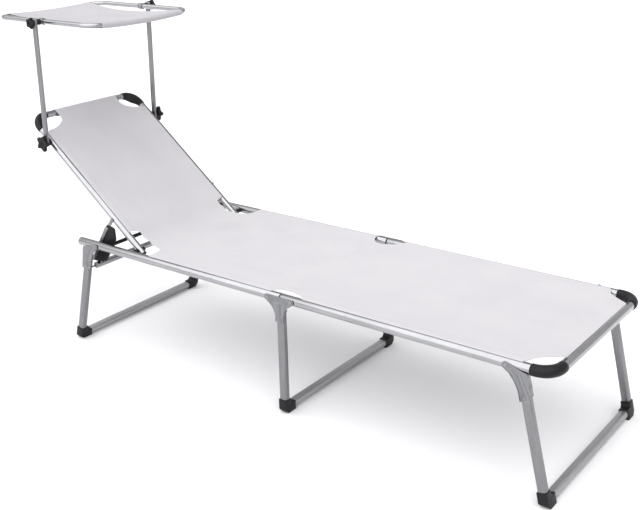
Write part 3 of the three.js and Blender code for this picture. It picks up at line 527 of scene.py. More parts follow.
BRIGHT = metal("bright_aluminium", (0.32, 0.323, 0.335), (0.41, 0.413, 0.425), 0.20, 0.06, 0.05)
BRUSHED = metal("leg_aluminium", (0.205, 0.205, 0.215), (0.275, 0.275, 0.287), 0.34, 0.08, 0.12)
BAR_FINISH = metal("crossbar_aluminium", (0.34, 0.34, 0.352), (0.44, 0.44, 0.452), 0.42, 0.08, 0.12)
PLATE = plated("bracket_steel", (0.20, 0.203, 0.213), (0.28, 0.283, 0.295), 0.38)
STEEL = plated("fastener_steel", (0.26, 0.263, 0.273), (0.34, 0.343, 0.353), 0.34)
BLACK = moulded("black_plastic", (0.0065, 0.006, 0.0075), (0.020, 0.019, 0.022), 0.42)
GREY = moulded("grey_plastic", (0.30, 0.31, 0.325), (0.40, 0.41, 0.425), 0.45)
FABRIC = sling_fabric("sling_fabric", (0.475, 0.463, 0.482), (0.45, 0.438, 0.46), (0.51, 0.505, 0.52))
# The canopy's cloth is the sling fabric with darker colours. The darkening is a painted shade for the
# canopy's dimmer tone, not a different cloth.
CANOPY_FABRIC_PAINTED_SHADE = sling_fabric(
    "canopy_fabric_painted_shade", (0.405, 0.395, 0.415), (0.38, 0.37, 0.392), (0.44, 0.435, 0.45)
)


def piece(name, form, place, look, nodes=(), body=None, angle=35, closed=True):
    """Makes a form an object that rides on a body, stands for its nodes and takes a finish."""
    mesh = bpy.data.meshes.new(name)
    mesh.from_pydata([place @ p for p in form.points], [], form.faces)
    grain = mesh.attributes.new("grain", "FLOAT_VECTOR", "POINT")
    grain.data.foreach_set("vector", [c * MM for g in form.grain for c in g])
    mesh.polygons.foreach_set("use_smooth", [not flat for flat in form.flat])
    if closed:
        bm = bmesh.new()
        bm.from_mesh(mesh)
        bmesh.ops.recalc_face_normals(bm, faces=bm.faces)
        bm.to_mesh(mesh)
        bm.free()
    mesh.set_sharp_from_angle(angle=math.radians(angle))
    mesh.materials.append(look)
    obj = bpy.data.objects.new(name, mesh)
    bpy.context.scene.collection.objects.link(obj)
    if body:
        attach(obj, body)
    if nodes:
        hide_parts(*nodes)
    return obj


def both_sides(name, make, place, look, body, node=None, **more):
    """The same form on the left and mirrored on the right."""
    node = node or name
    for side, mirror in SIDES:
        nodes = (f"{node}_{side}",) if node != "none" else ()
        piece(f"{name}_{side}", make(), mirror @ place, look, nodes, body, **more)


# Camera, at the photograph's viewing angle, from a fit of the frame to it
VIEW_AZIMUTH = 37.304
VIEW_PITCH = 20.967
VIEW_ROLL = 1.343
VIEW_PLACE = Vector((1.5841 + fold_place.x, -2.1661, 1.4181))
VIEW_LENS = 56.23
SENSOR = 36.0


def add_camera():
    az, pitch, roll = VIEW_AZIMUTH, VIEW_PITCH, VIEW_ROLL
    forward = Vector((-sin(az) * cos(pitch), cos(az) * cos(pitch), -sin(pitch)))
    right = Vector((cos(az), sin(az), 0))
    down = forward.cross(right)
    tilted = right * cos(roll) + down * sin(roll)
    below = down * cos(roll) - right * sin(roll)
    data = bpy.data.cameras.new("camera")
    data.sensor_fit = "HORIZONTAL"
    data.sensor_width = SENSOR
    data.lens = VIEW_LENS
    data.clip_end = 100.0
    camera = bpy.data.objects.new("camera", data)
    basis = Matrix((tilted, -below, -forward)).transposed()
    camera.matrix_world = Matrix.Translation(VIEW_PLACE) @ basis.to_4x4()
    bpy.context.scene.collection.objects.link(camera)
    bpy.context.scene.camera = camera


# Studio: a pale floor under a soft sky, bright on one side like a very large softbox
KEY_SIDE = (0.04, -0.58, 0.81)
KEY_RANGE = (0.36, 0.76, 0.74, 2.50)
FLOOR_REACH = 40.0


def add_studio():
    bpy.context.scene.view_settings.view_transform = "Standard"
    world = bpy.data.worlds.new("studio")
    bpy.context.scene.world = world
    world.use_nodes = True
    tree = world.node_tree
    place = tree.nodes.new("ShaderNodeTexCoord")
    toward = tree.nodes.new("ShaderNodeVectorMath")
    toward.operation = "DOT_PRODUCT"
    toward.inputs[1].default_value = Vector(KEY_SIDE).normalized()
    tree.links.new(place.outputs["Generated"], toward.inputs[0])
    glow = tree.nodes.new("ShaderNodeMapRange")
    glow.interpolation_type = "SMOOTHSTEP"
    for name, value in zip(("From Min", "From Max", "To Min", "To Max"), KEY_RANGE):
        glow.inputs[name].default_value = value
    tree.links.new(toward.outputs["Value"], glow.inputs["Value"])
    tree.links.new(glow.outputs[0], tree.nodes["Background"].inputs["Strength"])
    tree.nodes["Background"].inputs["Color"].default_value = (1.0, 0.995, 1.0, 1)

    mesh = bpy.data.meshes.new("floor")
    corners = ((-1, -1), (1, -1), (1, 1), (-1, 1))
    mesh.from_pydata([(x * FLOOR_REACH, y * FLOOR_REACH, 0) for x, y in corners], [], [(0, 1, 2, 3)])
    s = Shader("floor")
    tone = s.noise(0.6, detail=2, source=s.node("ShaderNodeTexCoord").outputs["Object"])
    colour = s.mixed(tone, (0.80, 0.80, 0.805, 1), (0.82, 0.82, 0.825, 1))
    mesh.materials.append(s.set(Base_Color=colour, Roughness=0.9, Specular_IOR_Level=0.1))
    floor = bpy.data.objects.new("floor", mesh)
    bpy.context.scene.collection.objects.link(floor)


# Tubes and rails


def rail_loops(radius):
    """An extruded rail: a tube with a slot on top that opens into a channel for the fabric's bead."""
    slot, channel, lip, wall = 1.4, 3.0, 1.3, 1.5
    centre = radius - lip - channel
    out_slot = math.degrees(math.asin(slot / radius))
    in_slot = math.degrees(math.asin(slot / channel))
    outer = [
        *arc(0, 0, radius, 90 + out_slot, 450 - out_slot, 56),
        *arc(0, centre, channel, 90 - in_slot, in_slot - 270, 16),
    ]
    inner, boss = radius - wall, channel + lip
    height = (inner**2 - boss**2 + centre**2) / (2 * centre)
    width = math.sqrt(inner**2 - height**2)
    on_wall = math.degrees(math.atan2(height, width))
    on_boss = math.degrees(math.atan2(height - centre, width))
    hollow = [
        *arc(0, 0, inner, 180 - on_wall, 360 + on_wall, 32),
        *arc(0, centre, boss, on_boss, -180 - on_boss, 12)[1:-1],
    ]
    return [outer, hollow]


def shifted(loops, x, y):
    return [[(u + x, v + y) for u, v in loop] for loop in loops]


def rail(radius, start, end, y, z):
    return prism(shifted(rail_loops(radius), y, z), start, end, in_yz, edge=0.25)


def side_rail(start, end, pins):
    form = rail(RAIL_R, start, end, RAIL_Y, RAIL_Z)
    for x in pins:
        form.take(pin(4, RAIL_Y - RAIL_R - 1.2, PLATE_OUT + 0.6, x, RAIL_Z))
    return form


def pin_heads(places):
    """The heads of a rail's pins."""
    form = Form()
    for x in places:
        form.take(dome_head(4.6, 1.6, PLATE_OUT + GAP, x, RAIL_Z, recess=0.7))
    return form


def rail_rivet(x):
    """A small rivet on the rail's upper outer side."""
    form = dome_head(2.8, 0.8, RAIL_R - 0.4, 0, 0)
    lift = Matrix.Translation((x, RAIL_Y, RAIL_Z)) @ Matrix.Rotation(math.radians(28), 4, "X")
    return form.moved(lift)


def rail_cap():
    """The rounded plug in the head end of a side rail."""
    rim, dome = 1.2, 4.6
    profile = [(0, 20), (10.5, 20), (10.5, 0.2), (RAIL_R, 0), (RAIL_R, -rim)]
    profile += [(RAIL_R * cos(a), -rim - dome * sin(a)) for a in range(15, 90, 15)]
    profile.append((0, -rim - dome))
    place = Matrix.Translation((-HEAD_END - GAP, 0, 0))
    return turned_form(profile, RAIL_Y, RAIL_Z, axis="X").moved(place)


def hinge_bolt():
    """The spacer between rail and backrest, the bolt through both, and its head inside."""
    outer, inner = BACK_Y + BACK_R + GAP, BACK_Y - BACK_R - GAP
    end = RAIL_Y - 11.4
    collar = [(6.7, outer), (7.5, outer + 0.8), (7.5, outer + 9), (6.6, outer + 10), (6.6, end)]
    spacer = turned_form([(0, outer), *collar, (0, end)], HINGE_X, RAIL_Z)
    shank = pin(4, inner - 1, outer + 2, HINGE_X, RAIL_Z)
    loop = circle(7.4, 6)
    nut = prism([shifted([fillet(loop, 1.2, 3)], HINGE_X, RAIL_Z)[0]], inner - 5, inner, in_xz, edge=0.6)
    return spacer.take(shank).take(nut)


def elbow(bend, radius, plug, web):
    """A corner sleeve: a bent bar with rounded ends, which swells towards the bend's middle, and the
    plugs by which it holds the two tubes."""
    lip = 1.4
    path = [
        *((along - SLEEVE, bend, 0) for along in (0, lip * 0.3, lip)),
        *((bend * sin(a), bend * cos(a), 0) for a in range(0, 91, 5)),
        *((bend, along - SLEEVE, 0) for along in (lip, lip * 0.3, 0)),
    ]
    radii = [radius - lip, radius - lip * 0.4, radius]
    for k in range(len(path) - 6):
        swell = web * math.sin(math.pi * k / (len(path) - 7)) ** 0.8
        radii.append((radius + swell * 0.12, radius + swell, radius))
    radii += [radius, radius - lip * 0.4, radius - lip]
    form = tube(path, radii, sides=40, side=(0, 0, 1))
    for start, step in (((-SLEEVE, bend, 0), (-1, 0, 0)), ((bend, -SLEEVE, 0), (0, -1, 0))):
        start, step = Vector(start), Vector(step)
        form.take(tube([start - step * 2, start + step * 20], plug))
    return form


# Legs and their brackets


LEG_LOOPS = [rounded_box(LEG_WIDE, LEG_DEEP, 6), rounded_box(LEG_WIDE - 3, LEG_DEEP - 3, 4.5)]
BLOCK_TOP = 43.0


def leg_tube(top):
    return prism(shifted(LEG_LOOPS, 0, LEG_Y), BLOCK_TOP + GAP, top, in_xy, edge=0.3)


def crossbar():
    """In the same section as the legs, between the two feet."""
    half = LEG_Y + LEG_DEEP / 2 + BLOCK_WALL - BLOCK_LONG - GAP
    return prism(shifted(LEG_LOOPS, 0, BAR_HIGH), -half, half, in_xz, edge=0.3)


def foot_block(lean):
    """The moulded foot, cut level with the ground, with a plug up into the leg and one into the bar."""
    outer = LEG_Y + LEG_DEEP / 2 + BLOCK_WALL
    inner = LEG_Y - LEG_DEEP / 2 - BLOCK_WALL
    end = outer - BLOCK_LONG
    bar_top = BAR_HIGH + LEG_DEEP / 2 + BLOCK_WALL
    wide = LEG_WIDE / 2 + BLOCK_WALL
    throat, heel = 5.5, 11
    outline = [
        (outer, BLOCK_TOP), (inner, BLOCK_TOP), (inner, bar_top + throat), (inner - throat, bar_top),
        (end, bar_top), (end, 0), (outer - heel, 0), (outer, heel),
    ]
    form = prism([fillet(outline, 2.6, 5)], -wide, wide, in_yz, edge=2.0)
    slope = math.tan(math.radians(lean))
    for p in form.points:
        p.z -= slope * p.x * max(0.0, 1 - p.z / 20)
    plug = [rounded_box(LEG_WIDE - 3.6, LEG_DEEP - 3.6, 4.5)]
    form.take(prism(shifted(plug, 0, LEG_Y), BLOCK_TOP - 2, BLOCK_TOP + 22, in_xy, edge=0.3))
    return form.take(prism(shifted(plug, 0, BAR_HIGH), end - 22, end + 2, in_xz, edge=0.3))


def rivet(x, z, radius=3.5, height=1.2):
    return dome_head(radius, height, PLATE_OUT, x, z)


def flange(path, depth, thickness=1.5):
    """A strip along a line of a plate, folded in towards the lounger's middle, or out where the depth
    is negative."""
    form = Form()
    line = [Vector(p) for p in path]
    points, grain = [], []
    travelled = 0.0
    for i, here in enumerate(line):
        ahead = (line[min(i + 1, len(line) - 1)] - line[max(i - 1, 0)]).normalized()
        side = Vector((-ahead.y, ahead.x)) * thickness / 2
        if i:
            travelled += (here - line[i - 1]).length
        for offset, down in ((-1, 0.6), (1, 0.2), (1, depth), (-1, depth)):
            p, y = here + side * offset, PLATE_OUT - down
            points.append((p.x, y, p.y))
            grain.append((travelled, y, offset))
    form.add(points, grid_faces(len(line), 4), grain)
    form.close_ends(len(line), 4)
    return form


def fold_bracket():
    """The middle leg's bracket: wide round both fold pins, with curved sides and a shallow bare panel."""
    end, bottom, leg = 9.5, 67.0, 13.8
    side = curve_through([
        (-FOLD_PIN - end * 0.72, -end * 0.7), (-FOLD_PIN * 0.62, -bottom * 0.36),
        (-leg * 1.12, -bottom * 0.66), (-leg, -bottom),
    ])
    half = [*arc(-FOLD_PIN, 0, end, 90, 215, 12), *side]
    outline = half + [(-x, z) for x, z in reversed(half)]
    holes = [circle(PIVOT_HOLE, 24, x) for x in (-FOLD_PIN, FOLD_PIN)]
    form = prism([outline, *holes], PLATE_IN, PLATE_OUT, in_xz, edge=0.35)
    panel = shifted([rounded_box(50, 12, 4, 4)], -1, -7)
    form.take(prism(panel, PLATE_OUT - 0.3, PLATE_OUT + 0.35, in_xz, edge=0.3))
    for sign in (-1, 1):
        edge = [(sign * -(abs(x) - 0.75), z) for x, z in side if z < -27]
        form.take(flange(edge, 11.5))
    form.take(rivet(0, -42)).take(rivet(8.5, -49))
    form.take(rivet(-3, -58, 2.4, 0.8))
    return form.moved(Matrix.Translation((0, 0, RAIL_Z)))


def leg_top_at(lean):
    """The top of an end leg below its pivot, clear of the rail, measured along the leg."""
    return -(RAIL_R + 0.8 + (LEG_OFFSET + LEG_WIDE / 2 + 1.5) * sin(lean)) / cos(lean)


def end_bracket(lean, reach):
    """The plate that an end leg turns on. Drawn from the pivot, towards +X and down."""
    slope = math.tan(math.radians(lean))

    def centre_at(z):
        return LEG_OFFSET / cos(lean) - z * slope

    leg, bottom = 13.8, -82.0
    outer_top = centre_at(-RAIL_R) + leg + 6
    inner = min(centre_at(bottom) - leg, reach)
    lower_shares = ((0.27, 0.23), (0.58, 0.43), (0.83, 0.68), (1, 1))
    lower = curve_through([(u * inner, v * bottom) for u, v in lower_shares])
    upper_shares = ((0.95, -0.62), (0.62, -0.25), (0.3, 0.3))
    upper = curve_through([(outer_top * u, RAIL_R * v) for u, v in upper_shares], 6)
    heel = [(centre_at(bottom) + leg, bottom), (outer_top, -RAIL_R)]
    outline = [*arc(0, 0, 10, 60, 225, 16), *lower, *heel, *upper]
    form = prism([outline, circle(PIVOT_HOLE, 24)], PLATE_IN, PLATE_OUT, in_xz, edge=0.35)
    x = LEG_OFFSET + leg - 0.75
    top = leg_top_at(lean) - 1.5
    line = [(x, bottom + (top - bottom) * k / 6) for k in range(7)]
    form.take(flange(line, 21.5).moved(turned((0, 0, 0), -lean)))
    form.take(flange([(u + 0.9, v) for u, v in lower], -1.1))
    for share in (0.48, 0.86):
        form.take(rivet(centre_at(bottom * share), bottom * share))
    return form


def head_bracket():
    """An end bracket with the bolt that holds the tie tube."""
    form = end_bracket(HEAD_LEAN, TIE_X - 7.5)
    form.take(pin(2.5, TIE_END + GAP, PLATE_OUT, TIE_X, TIE_Z))
    return form.take(dome_head(5, 2.0, PLATE_OUT - 0.1, TIE_X, TIE_Z))


def tie_plug():
    """The grey plug in the tie tube's end."""
    cap = TIE_END + GAP
    rim = [(9.6, cap), (TIE_R, cap + 0.4), (TIE_R, cap + 1.2), (9.4, cap + 1.8)]
    return turned_form([(0, cap - 20), (8.1, cap - 20), (8.2, cap), *rim, (0, cap + 1.8)], TIE_X, TIE_Z)


# Backrest, drawn flat from its hinge towards -X


BACK_FOOT = 15.0  # where the back rails end, past the hinge


def back_rail():
    turn = Matrix.Rotation(math.radians(BACK_SLOT), 2)
    loops = [[tuple(turn @ Vector(p)) for p in loop] for loop in rail_loops(BACK_R)]
    top = -(BACK_LONG - BACK_BEND - SLEEVE - GAP)
    return prism(shifted(loops, BACK_Y, 0), top, BACK_FOOT, in_yz, edge=0.25)


def back_plug():
    """The plug in a back rail's lower end."""
    cap = BACK_FOOT + GAP
    rim = [(BACK_R - 0.6, cap), (BACK_R, cap + 0.6), (BACK_R, cap + 2), (BACK_R - 0.8, cap + 3)]
    return turned_form([(0, 7), (8.5, 7), (8.5, cap), *rim, (0, cap + 3)], BACK_Y, 0, axis="X")


ARM_DEEP = 10.0
ARM_IN = ARM_Y - ARM_DEEP / 2 - GAP  # where the clamps meet the arm
BOLT_END = ARM_Y + 15


def lower_clamp():
    """A saddle on the back rail's outer side. Its bolt goes through the rail, arm and knob."""
    inner, outer, half, corner = 7.2, ARM_IN - BACK_Y, 8.6, 3.4
    hollow = arc(0, 0, BACK_R + GAP, -48, 48, 16)
    outline = [
        (inner, half),
        *arc(outer - corner, half - corner, corner, 90, 0, 6),
        *arc(outer - corner, corner - half, corner, 360, 270, 6),
        (inner, -half),
        *hollow,
    ]
    form = prism(shifted([outline], BACK_Y, 0), -8, 8, in_yz, edge=0.9)
    head = BACK_Y - BACK_R - GAP
    cap = [(5, head), (5, head - 2.2), (4.3, head - 3.1), (1.9, head - 3.1), (1.8, head - 1.6)]
    form.take(pin(2.5, head - 1, BOLT_END))
    return form.take(turned_form([(0, head), *cap, (0, head - 1.6)]))


# Stay


def tube_in_stay(more):
    """The tie tube's place in the stay's own frame, with the backrest up by some degrees more."""
    recline, angle = RECLINE + more, STAY_ANGLE + (STAY_RATIO - 1) * more
    x = HEAD_PIN - TIE_X - (HINGE_X - STAY_PIVOT * cos(recline))
    z = RAIL_Z + TIE_Z - (RAIL_Z + STAY_PIVOT * sin(recline))
    return Vector((-x * cos(angle) - z * sin(angle), x * sin(angle) - z * cos(angle)))


def beside_tube(more, distance):
    """A point at a distance beside the tie tube's path."""
    ahead = (tube_in_stay(more + 0.5) - tube_in_stay(more - 0.5)).normalized()
    return tube_in_stay(more) + Vector((ahead.y, -ahead.x)) * distance


def rack():
    """The toothed rack: its edge runs beside the tie tube's path, with notches that the tube rests in."""
    edge, back, width = 10.6, -4.0, 46.0
    notch_r, notch_deep, notches = 10.2, 3.2, (-4, -8, -12)
    first, last, steps = -18, 7, 75
    samples = []
    for i in range(steps + 1):
        p = beside_tube(first + (last - first) * i / steps, edge)
        for notch in notches:
            centre = beside_tube(notch, notch_deep)
            if (p - centre).length < notch_r:
                p = centre + (p - centre).normalized() * notch_r
        samples.append(p)
    path = [p for p in samples if back < p.y < width]
    outline = [(0.3 * width, 0.42 * width), (0.3 * width, 0.58 * width), (0.88 * width, width)]
    outline += [(path[0].x - (width - path[0].y), width)]
    outline += [tuple(p) for p in path] + [(path[-1].x, back), (width / 2, back)]
    outline = [(-u, -v) for u, v in outline]
    return prism([outline, circle(4.9, 20, ROD_X, ROD_Z)], RACK_IN, RACK_OUT, in_xz, edge=0.5)


def stay_bar():
    """A flat bar, bent in at its upper end so that it lies against the backrest's rail."""
    near, far = BACK_Y + BACK_R + 2.1, 239.7
    half_thick, half_high = 1.5, 6
    end_shares = ((1, 0), (5.2 / half_high, 3.4), (3.8 / half_high, 5.0), (0.4, 5.6))
    upper = [(along, near, share) for share, along in reversed(end_shares)]
    bend = [(-13, near, 1), (-18, near + 1.2, 1), (-34, far - 1.2, 1), (-39, far, 1), (-100, far, 1)]
    lower = [(-170 - along, far, share) for share, along in end_shares]
    stations = [*upper, *bend, *lower]
    radii = [(half_high * share, half_thick, half_thick) for _, _, share in stations]
    form = tube([(x, y, 0) for x, y, _ in stations], radii, sides=24, side=(0, 0, 1))
    head = BACK_Y - BACK_R - GAP
    form.take(pin(3, head - 0.6, near + 1.2))
    form.take(turned_form([(0, head - 2.5), (4, head - 2.5), (7.2, head - 1.2), (7.4, head), (0, head)]))
    form.take(dome_head(3.4, 1.2, near + 1.3, 0, 0))
    for at in (-52, -110):
        form.take(dome_head(3.2, 1.1, 241.1, at, 0))
    return form


# Canopy arms and knobs


def arm():
    past = 11  # the pivots
    loop = rounded_box(18, ARM_DEEP, 4, 5)
    return prism(shifted([loop], 0, ARM_Y), -past, ARM_LENGTH + past, in_xy, edge=2.5)


def knob(size):
    """A five-lobed star knob, with a hub behind it and a bolt's end in its dished face."""
    form = Form()
    lobes, steps, hub_deep = 5, 16, 5
    count = lobes * steps
    face = ARM_Y + ARM_DEEP / 2 + GAP + hub_deep

    def star(middle, blend, y, smaller=0.0):
        """A ring whose lobes fade into a circle as the blend goes to 0."""
        ring = []
        for i in range(count):
            a = 2 * math.pi * i / count
            wave = (1 + math.cos(lobes * a)) / 2
            radius = size * (0.67 + 0.33 * wave**1.25)
            radius = (radius - smaller) * blend + middle * (1 - blend)
            ring.append((radius * math.cos(a), face + y, radius * math.sin(a)))
        return ring

    rim = ((0, 2.2), (0.5, 0.9), (1.6, 0.1), (2.4, 0), (8.4, 0.3), (9.7, 0.8), (10.6, 2.0), (11, 3.8))
    dish = ((12, 0.5, 10.9), (10.5, 0.15, 10.3), (9.2, 0, 9.4), (8.0, 0, 9.2))
    bolt = ((7.4, 0, 10.2), (5.2, 0, 10.6), (4.4, 0, 10.0), (4.2, 0, 8.6))
    rings = [star(0, 1, y, smaller) for y, smaller in rim] + [star(*ring) for ring in (*dish, *bolt)]
    points = [p for ring in rings for p in ring]
    form.add(points, grid_faces(len(rings), count), points)
    form.close_ends(len(rings), count)
    back = face - hub_deep
    hub = [(0, back), (8.2, back), (9, back + 0.8), (9, face + 0.5), (0, face + 0.5)]
    return form.take(turned_form(hub))


def bow_at(y):
    return -CANOPY_BOW * max(0.0, 1 - (y / CANOPY_HALF_WIDE) ** 2)


def canopy_frame():
    x, y = CANOPY_HALF_LONG - CANOPY_BEND, CANOPY_HALF_WIDE - CANOPY_BEND
    path = []
    for corner_x, corner_y, start in ((x, y, 0), (-x, y, 90), (-x, -y, 180), (x, -y, 270)):
        corner = arc(corner_x, corner_y, CANOPY_BEND, start, start + 90, 14)
        path += [(px, py, bow_at(py)) for px, py in corner]
        if start in (90, 270):
            along = math.copysign(CANOPY_HALF_LONG, corner_x)
            for i in range(1, 16):
                py = corner_y * (1 - i / 8)
                path.append((along, py, bow_at(py)))
    return tube(path, CANOPY_R, sides=28, closed=True, side=(0, 0, 1))


def upper_clamp():
    """The ring round the canopy's side tube."""
    loops = [circle(9.8, 40, CANOPY_HALF_WIDE), circle(CANOPY_R + GAP, 32, CANOPY_HALF_WIDE)]
    ring = prism(loops, -9, 9, in_yz, edge=0.8)
    return ring.take(pin(7, CANOPY_HALF_WIDE + 8.5, CANOPY_HALF_WIDE + 12))


def upper_boss():
    """The boss that the arm's upper end turns against, with the knob's bolt."""
    start, end = CANOPY_HALF_WIDE + 11, ARM_IN
    side = [(8.4, start), (8.8, start + 0.6), (8.0, end - 0.5), (7.4, end)]
    return turned_form([(0, start), *side, (0, end)]).take(pin(3, end - 2, BOLT_END))


# Fabric

EDGE_STEPS = (0.0, 0.5, 1.3, 2.6, 4.5, 7.5, 12.0, 18.0, 21.5, 23.0, 24.5, 26.5, 32.0)


def sheet_grid(rows, surface, across=26):
    """A grid of points. rows are (how far along, half the width, or its two halves where they
    differ), and surface gives the point for how far along and across. It is finer near the edges."""
    form = Form()
    points, grain = [], []
    for along, half in rows:
        right, left = half if isinstance(half, tuple) else (half, half)
        ys = [d - right for d in EDGE_STEPS]
        low, high = ys[-1], left - EDGE_STEPS[-1]
        ys += [low + (high - low) * k / across for k in range(1, across)]
        ys += [left - d for d in reversed(EDGE_STEPS)]
        for y in ys:
            points.append(surface(along, y))
            grain.append((along, y, min(left - y, right + y)))
    form.add(points, grid_faces(len(rows), len(points) // len(rows), closed=False), grain)
    return form


def flat_area(form):
    """The cut's flat area in square metres, from how far along and across its points are."""
    total = 0.0
    for a, b, c, d in form.faces:
        pa, pb, pc, pd = (form.grain[i] for i in (a, b, c, d))
        total += abs((pc[0] - pa[0]) * (pd[1] - pb[1]) - (pd[0] - pb[0]) * (pc[1] - pa[1])) / 2
    return total * MM * MM


def between(value, low, high):
    t = min(1.0, max(0.0, (value - low) / (high - low)))
    return t * t * (3 - 2 * t)


def pairs_at(value, pairs):
    """The second number of a table's pairs at a value of the first one, on straight lines."""
    for (a, low), (b, high) in zip(pairs, pairs[1:]):
        if value <= b:
            return low + (high - low) * (value - a) / max(1e-9, b - a)
    return pairs[-1][1]


# How far the fabric lies below its level over a rail's lip, by the distance to the slot
LIP = ((0.0, 4.6), (0.5, 2.2), (1.3, 0.75), (2.6, 0.15), (4.5, 0.0))
BACK_LIP = ((0.0, 4.8), (0.6, 2.2), (1.4, 0.9), (3.0, 0.4), (7.0, 0.1), (12.0, 0.0))

SEAT_TOP = RAIL_Z + RAIL_R + 0.3 + CLOTH / 2
SEAT_SAG = 4.0
BACK_SAG = 3.0
BACK_TOP = BACK_R + 0.3 + CLOTH / 2
BEND_R = 110.0


def ripple(along, y, slot_y):
    """Slight waves where the fabric is pulled to the rails."""
    inside = slot_y - abs(y)
    wave = math.sin(along / 17.0 + 0.6 * math.sin(along / 41.0)) + 0.6 * math.sin(along / 9.3 + 1.7)
    return 0.32 * math.exp(-((inside / 46.0) ** 2)) * wave * min(1.0, max(0.0, inside / 14.0))


def seat_offset(x, y):
    """How far the fabric of the seat lies above its level, at a place in the frame."""
    flat_end = between(BAR_X - x, 0, 140)
    sag = SEAT_SAG * max(0.0, 1 - (y / RAIL_Y) ** 2) * flat_end
    return ripple(x, y, RAIL_Y) * flat_end - sag - pairs_at(RAIL_Y - abs(y), LIP)


def spaced(start, end, half, step):
    count = max(1, round(abs(end - start) / step))
    return [(start + (end - start) * i / count, half) for i in range(count + 1)]


def fold_cut(reach, steps=14):
    """The half-moons at the fold, from their innermost points out to the rails. The photograph's
    near one, on the right, is the shallower."""
    angles = [90 * k / steps for k in range(steps + 1)]
    return [(reach * sin(a), tuple(RAIL_Y - deep * cos(a) for deep in FOLD_CUT_DEPTHS)) for a in angles]


def make_sheet(name, rows, surface, place, nodes, look=FABRIC):
    """A sheet of stretched fabric, thickened to the cloth's thickness. Its width and flat area are worked
    out and not used.
    """
    form = sheet_grid(rows, surface)
    obj = piece(name, form, place, look, nodes, closed=False, angle=60)
    thick = obj.modifiers.new("thickness", "SOLIDIFY")
    thick.thickness = CLOTH * MM
    thick.offset = 0.0
    thickened = obj.evaluated_get(bpy.context.evaluated_depsgraph_get())
    obj.data = bpy.data.meshes.new_from_object(thickened)
    obj.modifiers.clear()
    obj.data.set_sharp_from_angle(angle=math.radians(60))
    width = 2 * max(max(half) if isinstance(half, tuple) else half for _, half in rows) * MM
    flat_area(form)
    return obj


def build_seat():
    def seat_surface(x, y):
        return (x, y, SEAT_TOP + seat_offset(x, y))

    rows = spaced(SEAT_END, -FOLD_CUT_HEAD - 2, RAIL_Y, 9)[:-1] + [(-FOLD_CUT_HEAD - 1, RAIL_Y)]
    rows += [(-a, half) for a, half in reversed(fold_cut(FOLD_CUT_HEAD))]
    obj = make_sheet(
        "sling_seat_middle", rows, seat_surface, frame_at, ("sling_seat",),
    )
    start, end = (frame_at @ Vector((x, 0, RAIL_Z)) for x in (-FOLD_CUT_HEAD, -4))
    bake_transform(obj)
    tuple(start)
    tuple(end)

    corner = [(708, RAIL_Y), (712, 256), (718, 243), (726, 225), (750, 205), (BAR_X + 0.5, 182)]
    rows = fold_cut(FOLD_CUT_FOOT) + [(FOLD_CUT_FOOT + 1, RAIL_Y)]
    rows += spaced(FOLD_CUT_FOOT + 10, 704, RAIL_Y, 9) + curve_through(corner, 6)

    def foot_surface(x, y):
        down = pairs_at(BAR_X + 0.5 - x, LIP) if x > BAR_X - 15 else 0.0
        return (min(x, BAR_X + 0.2), y, SEAT_TOP + seat_offset(x, y) - down)

    obj = make_sheet(
        "sling_foot_end", rows, foot_surface, frame_at, ("sling_foot",),
    )
    start, end = (frame_at @ Vector((x, 0, RAIL_Z)) for x in (4, 66))
    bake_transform(obj)
    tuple(start)
    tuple(end)


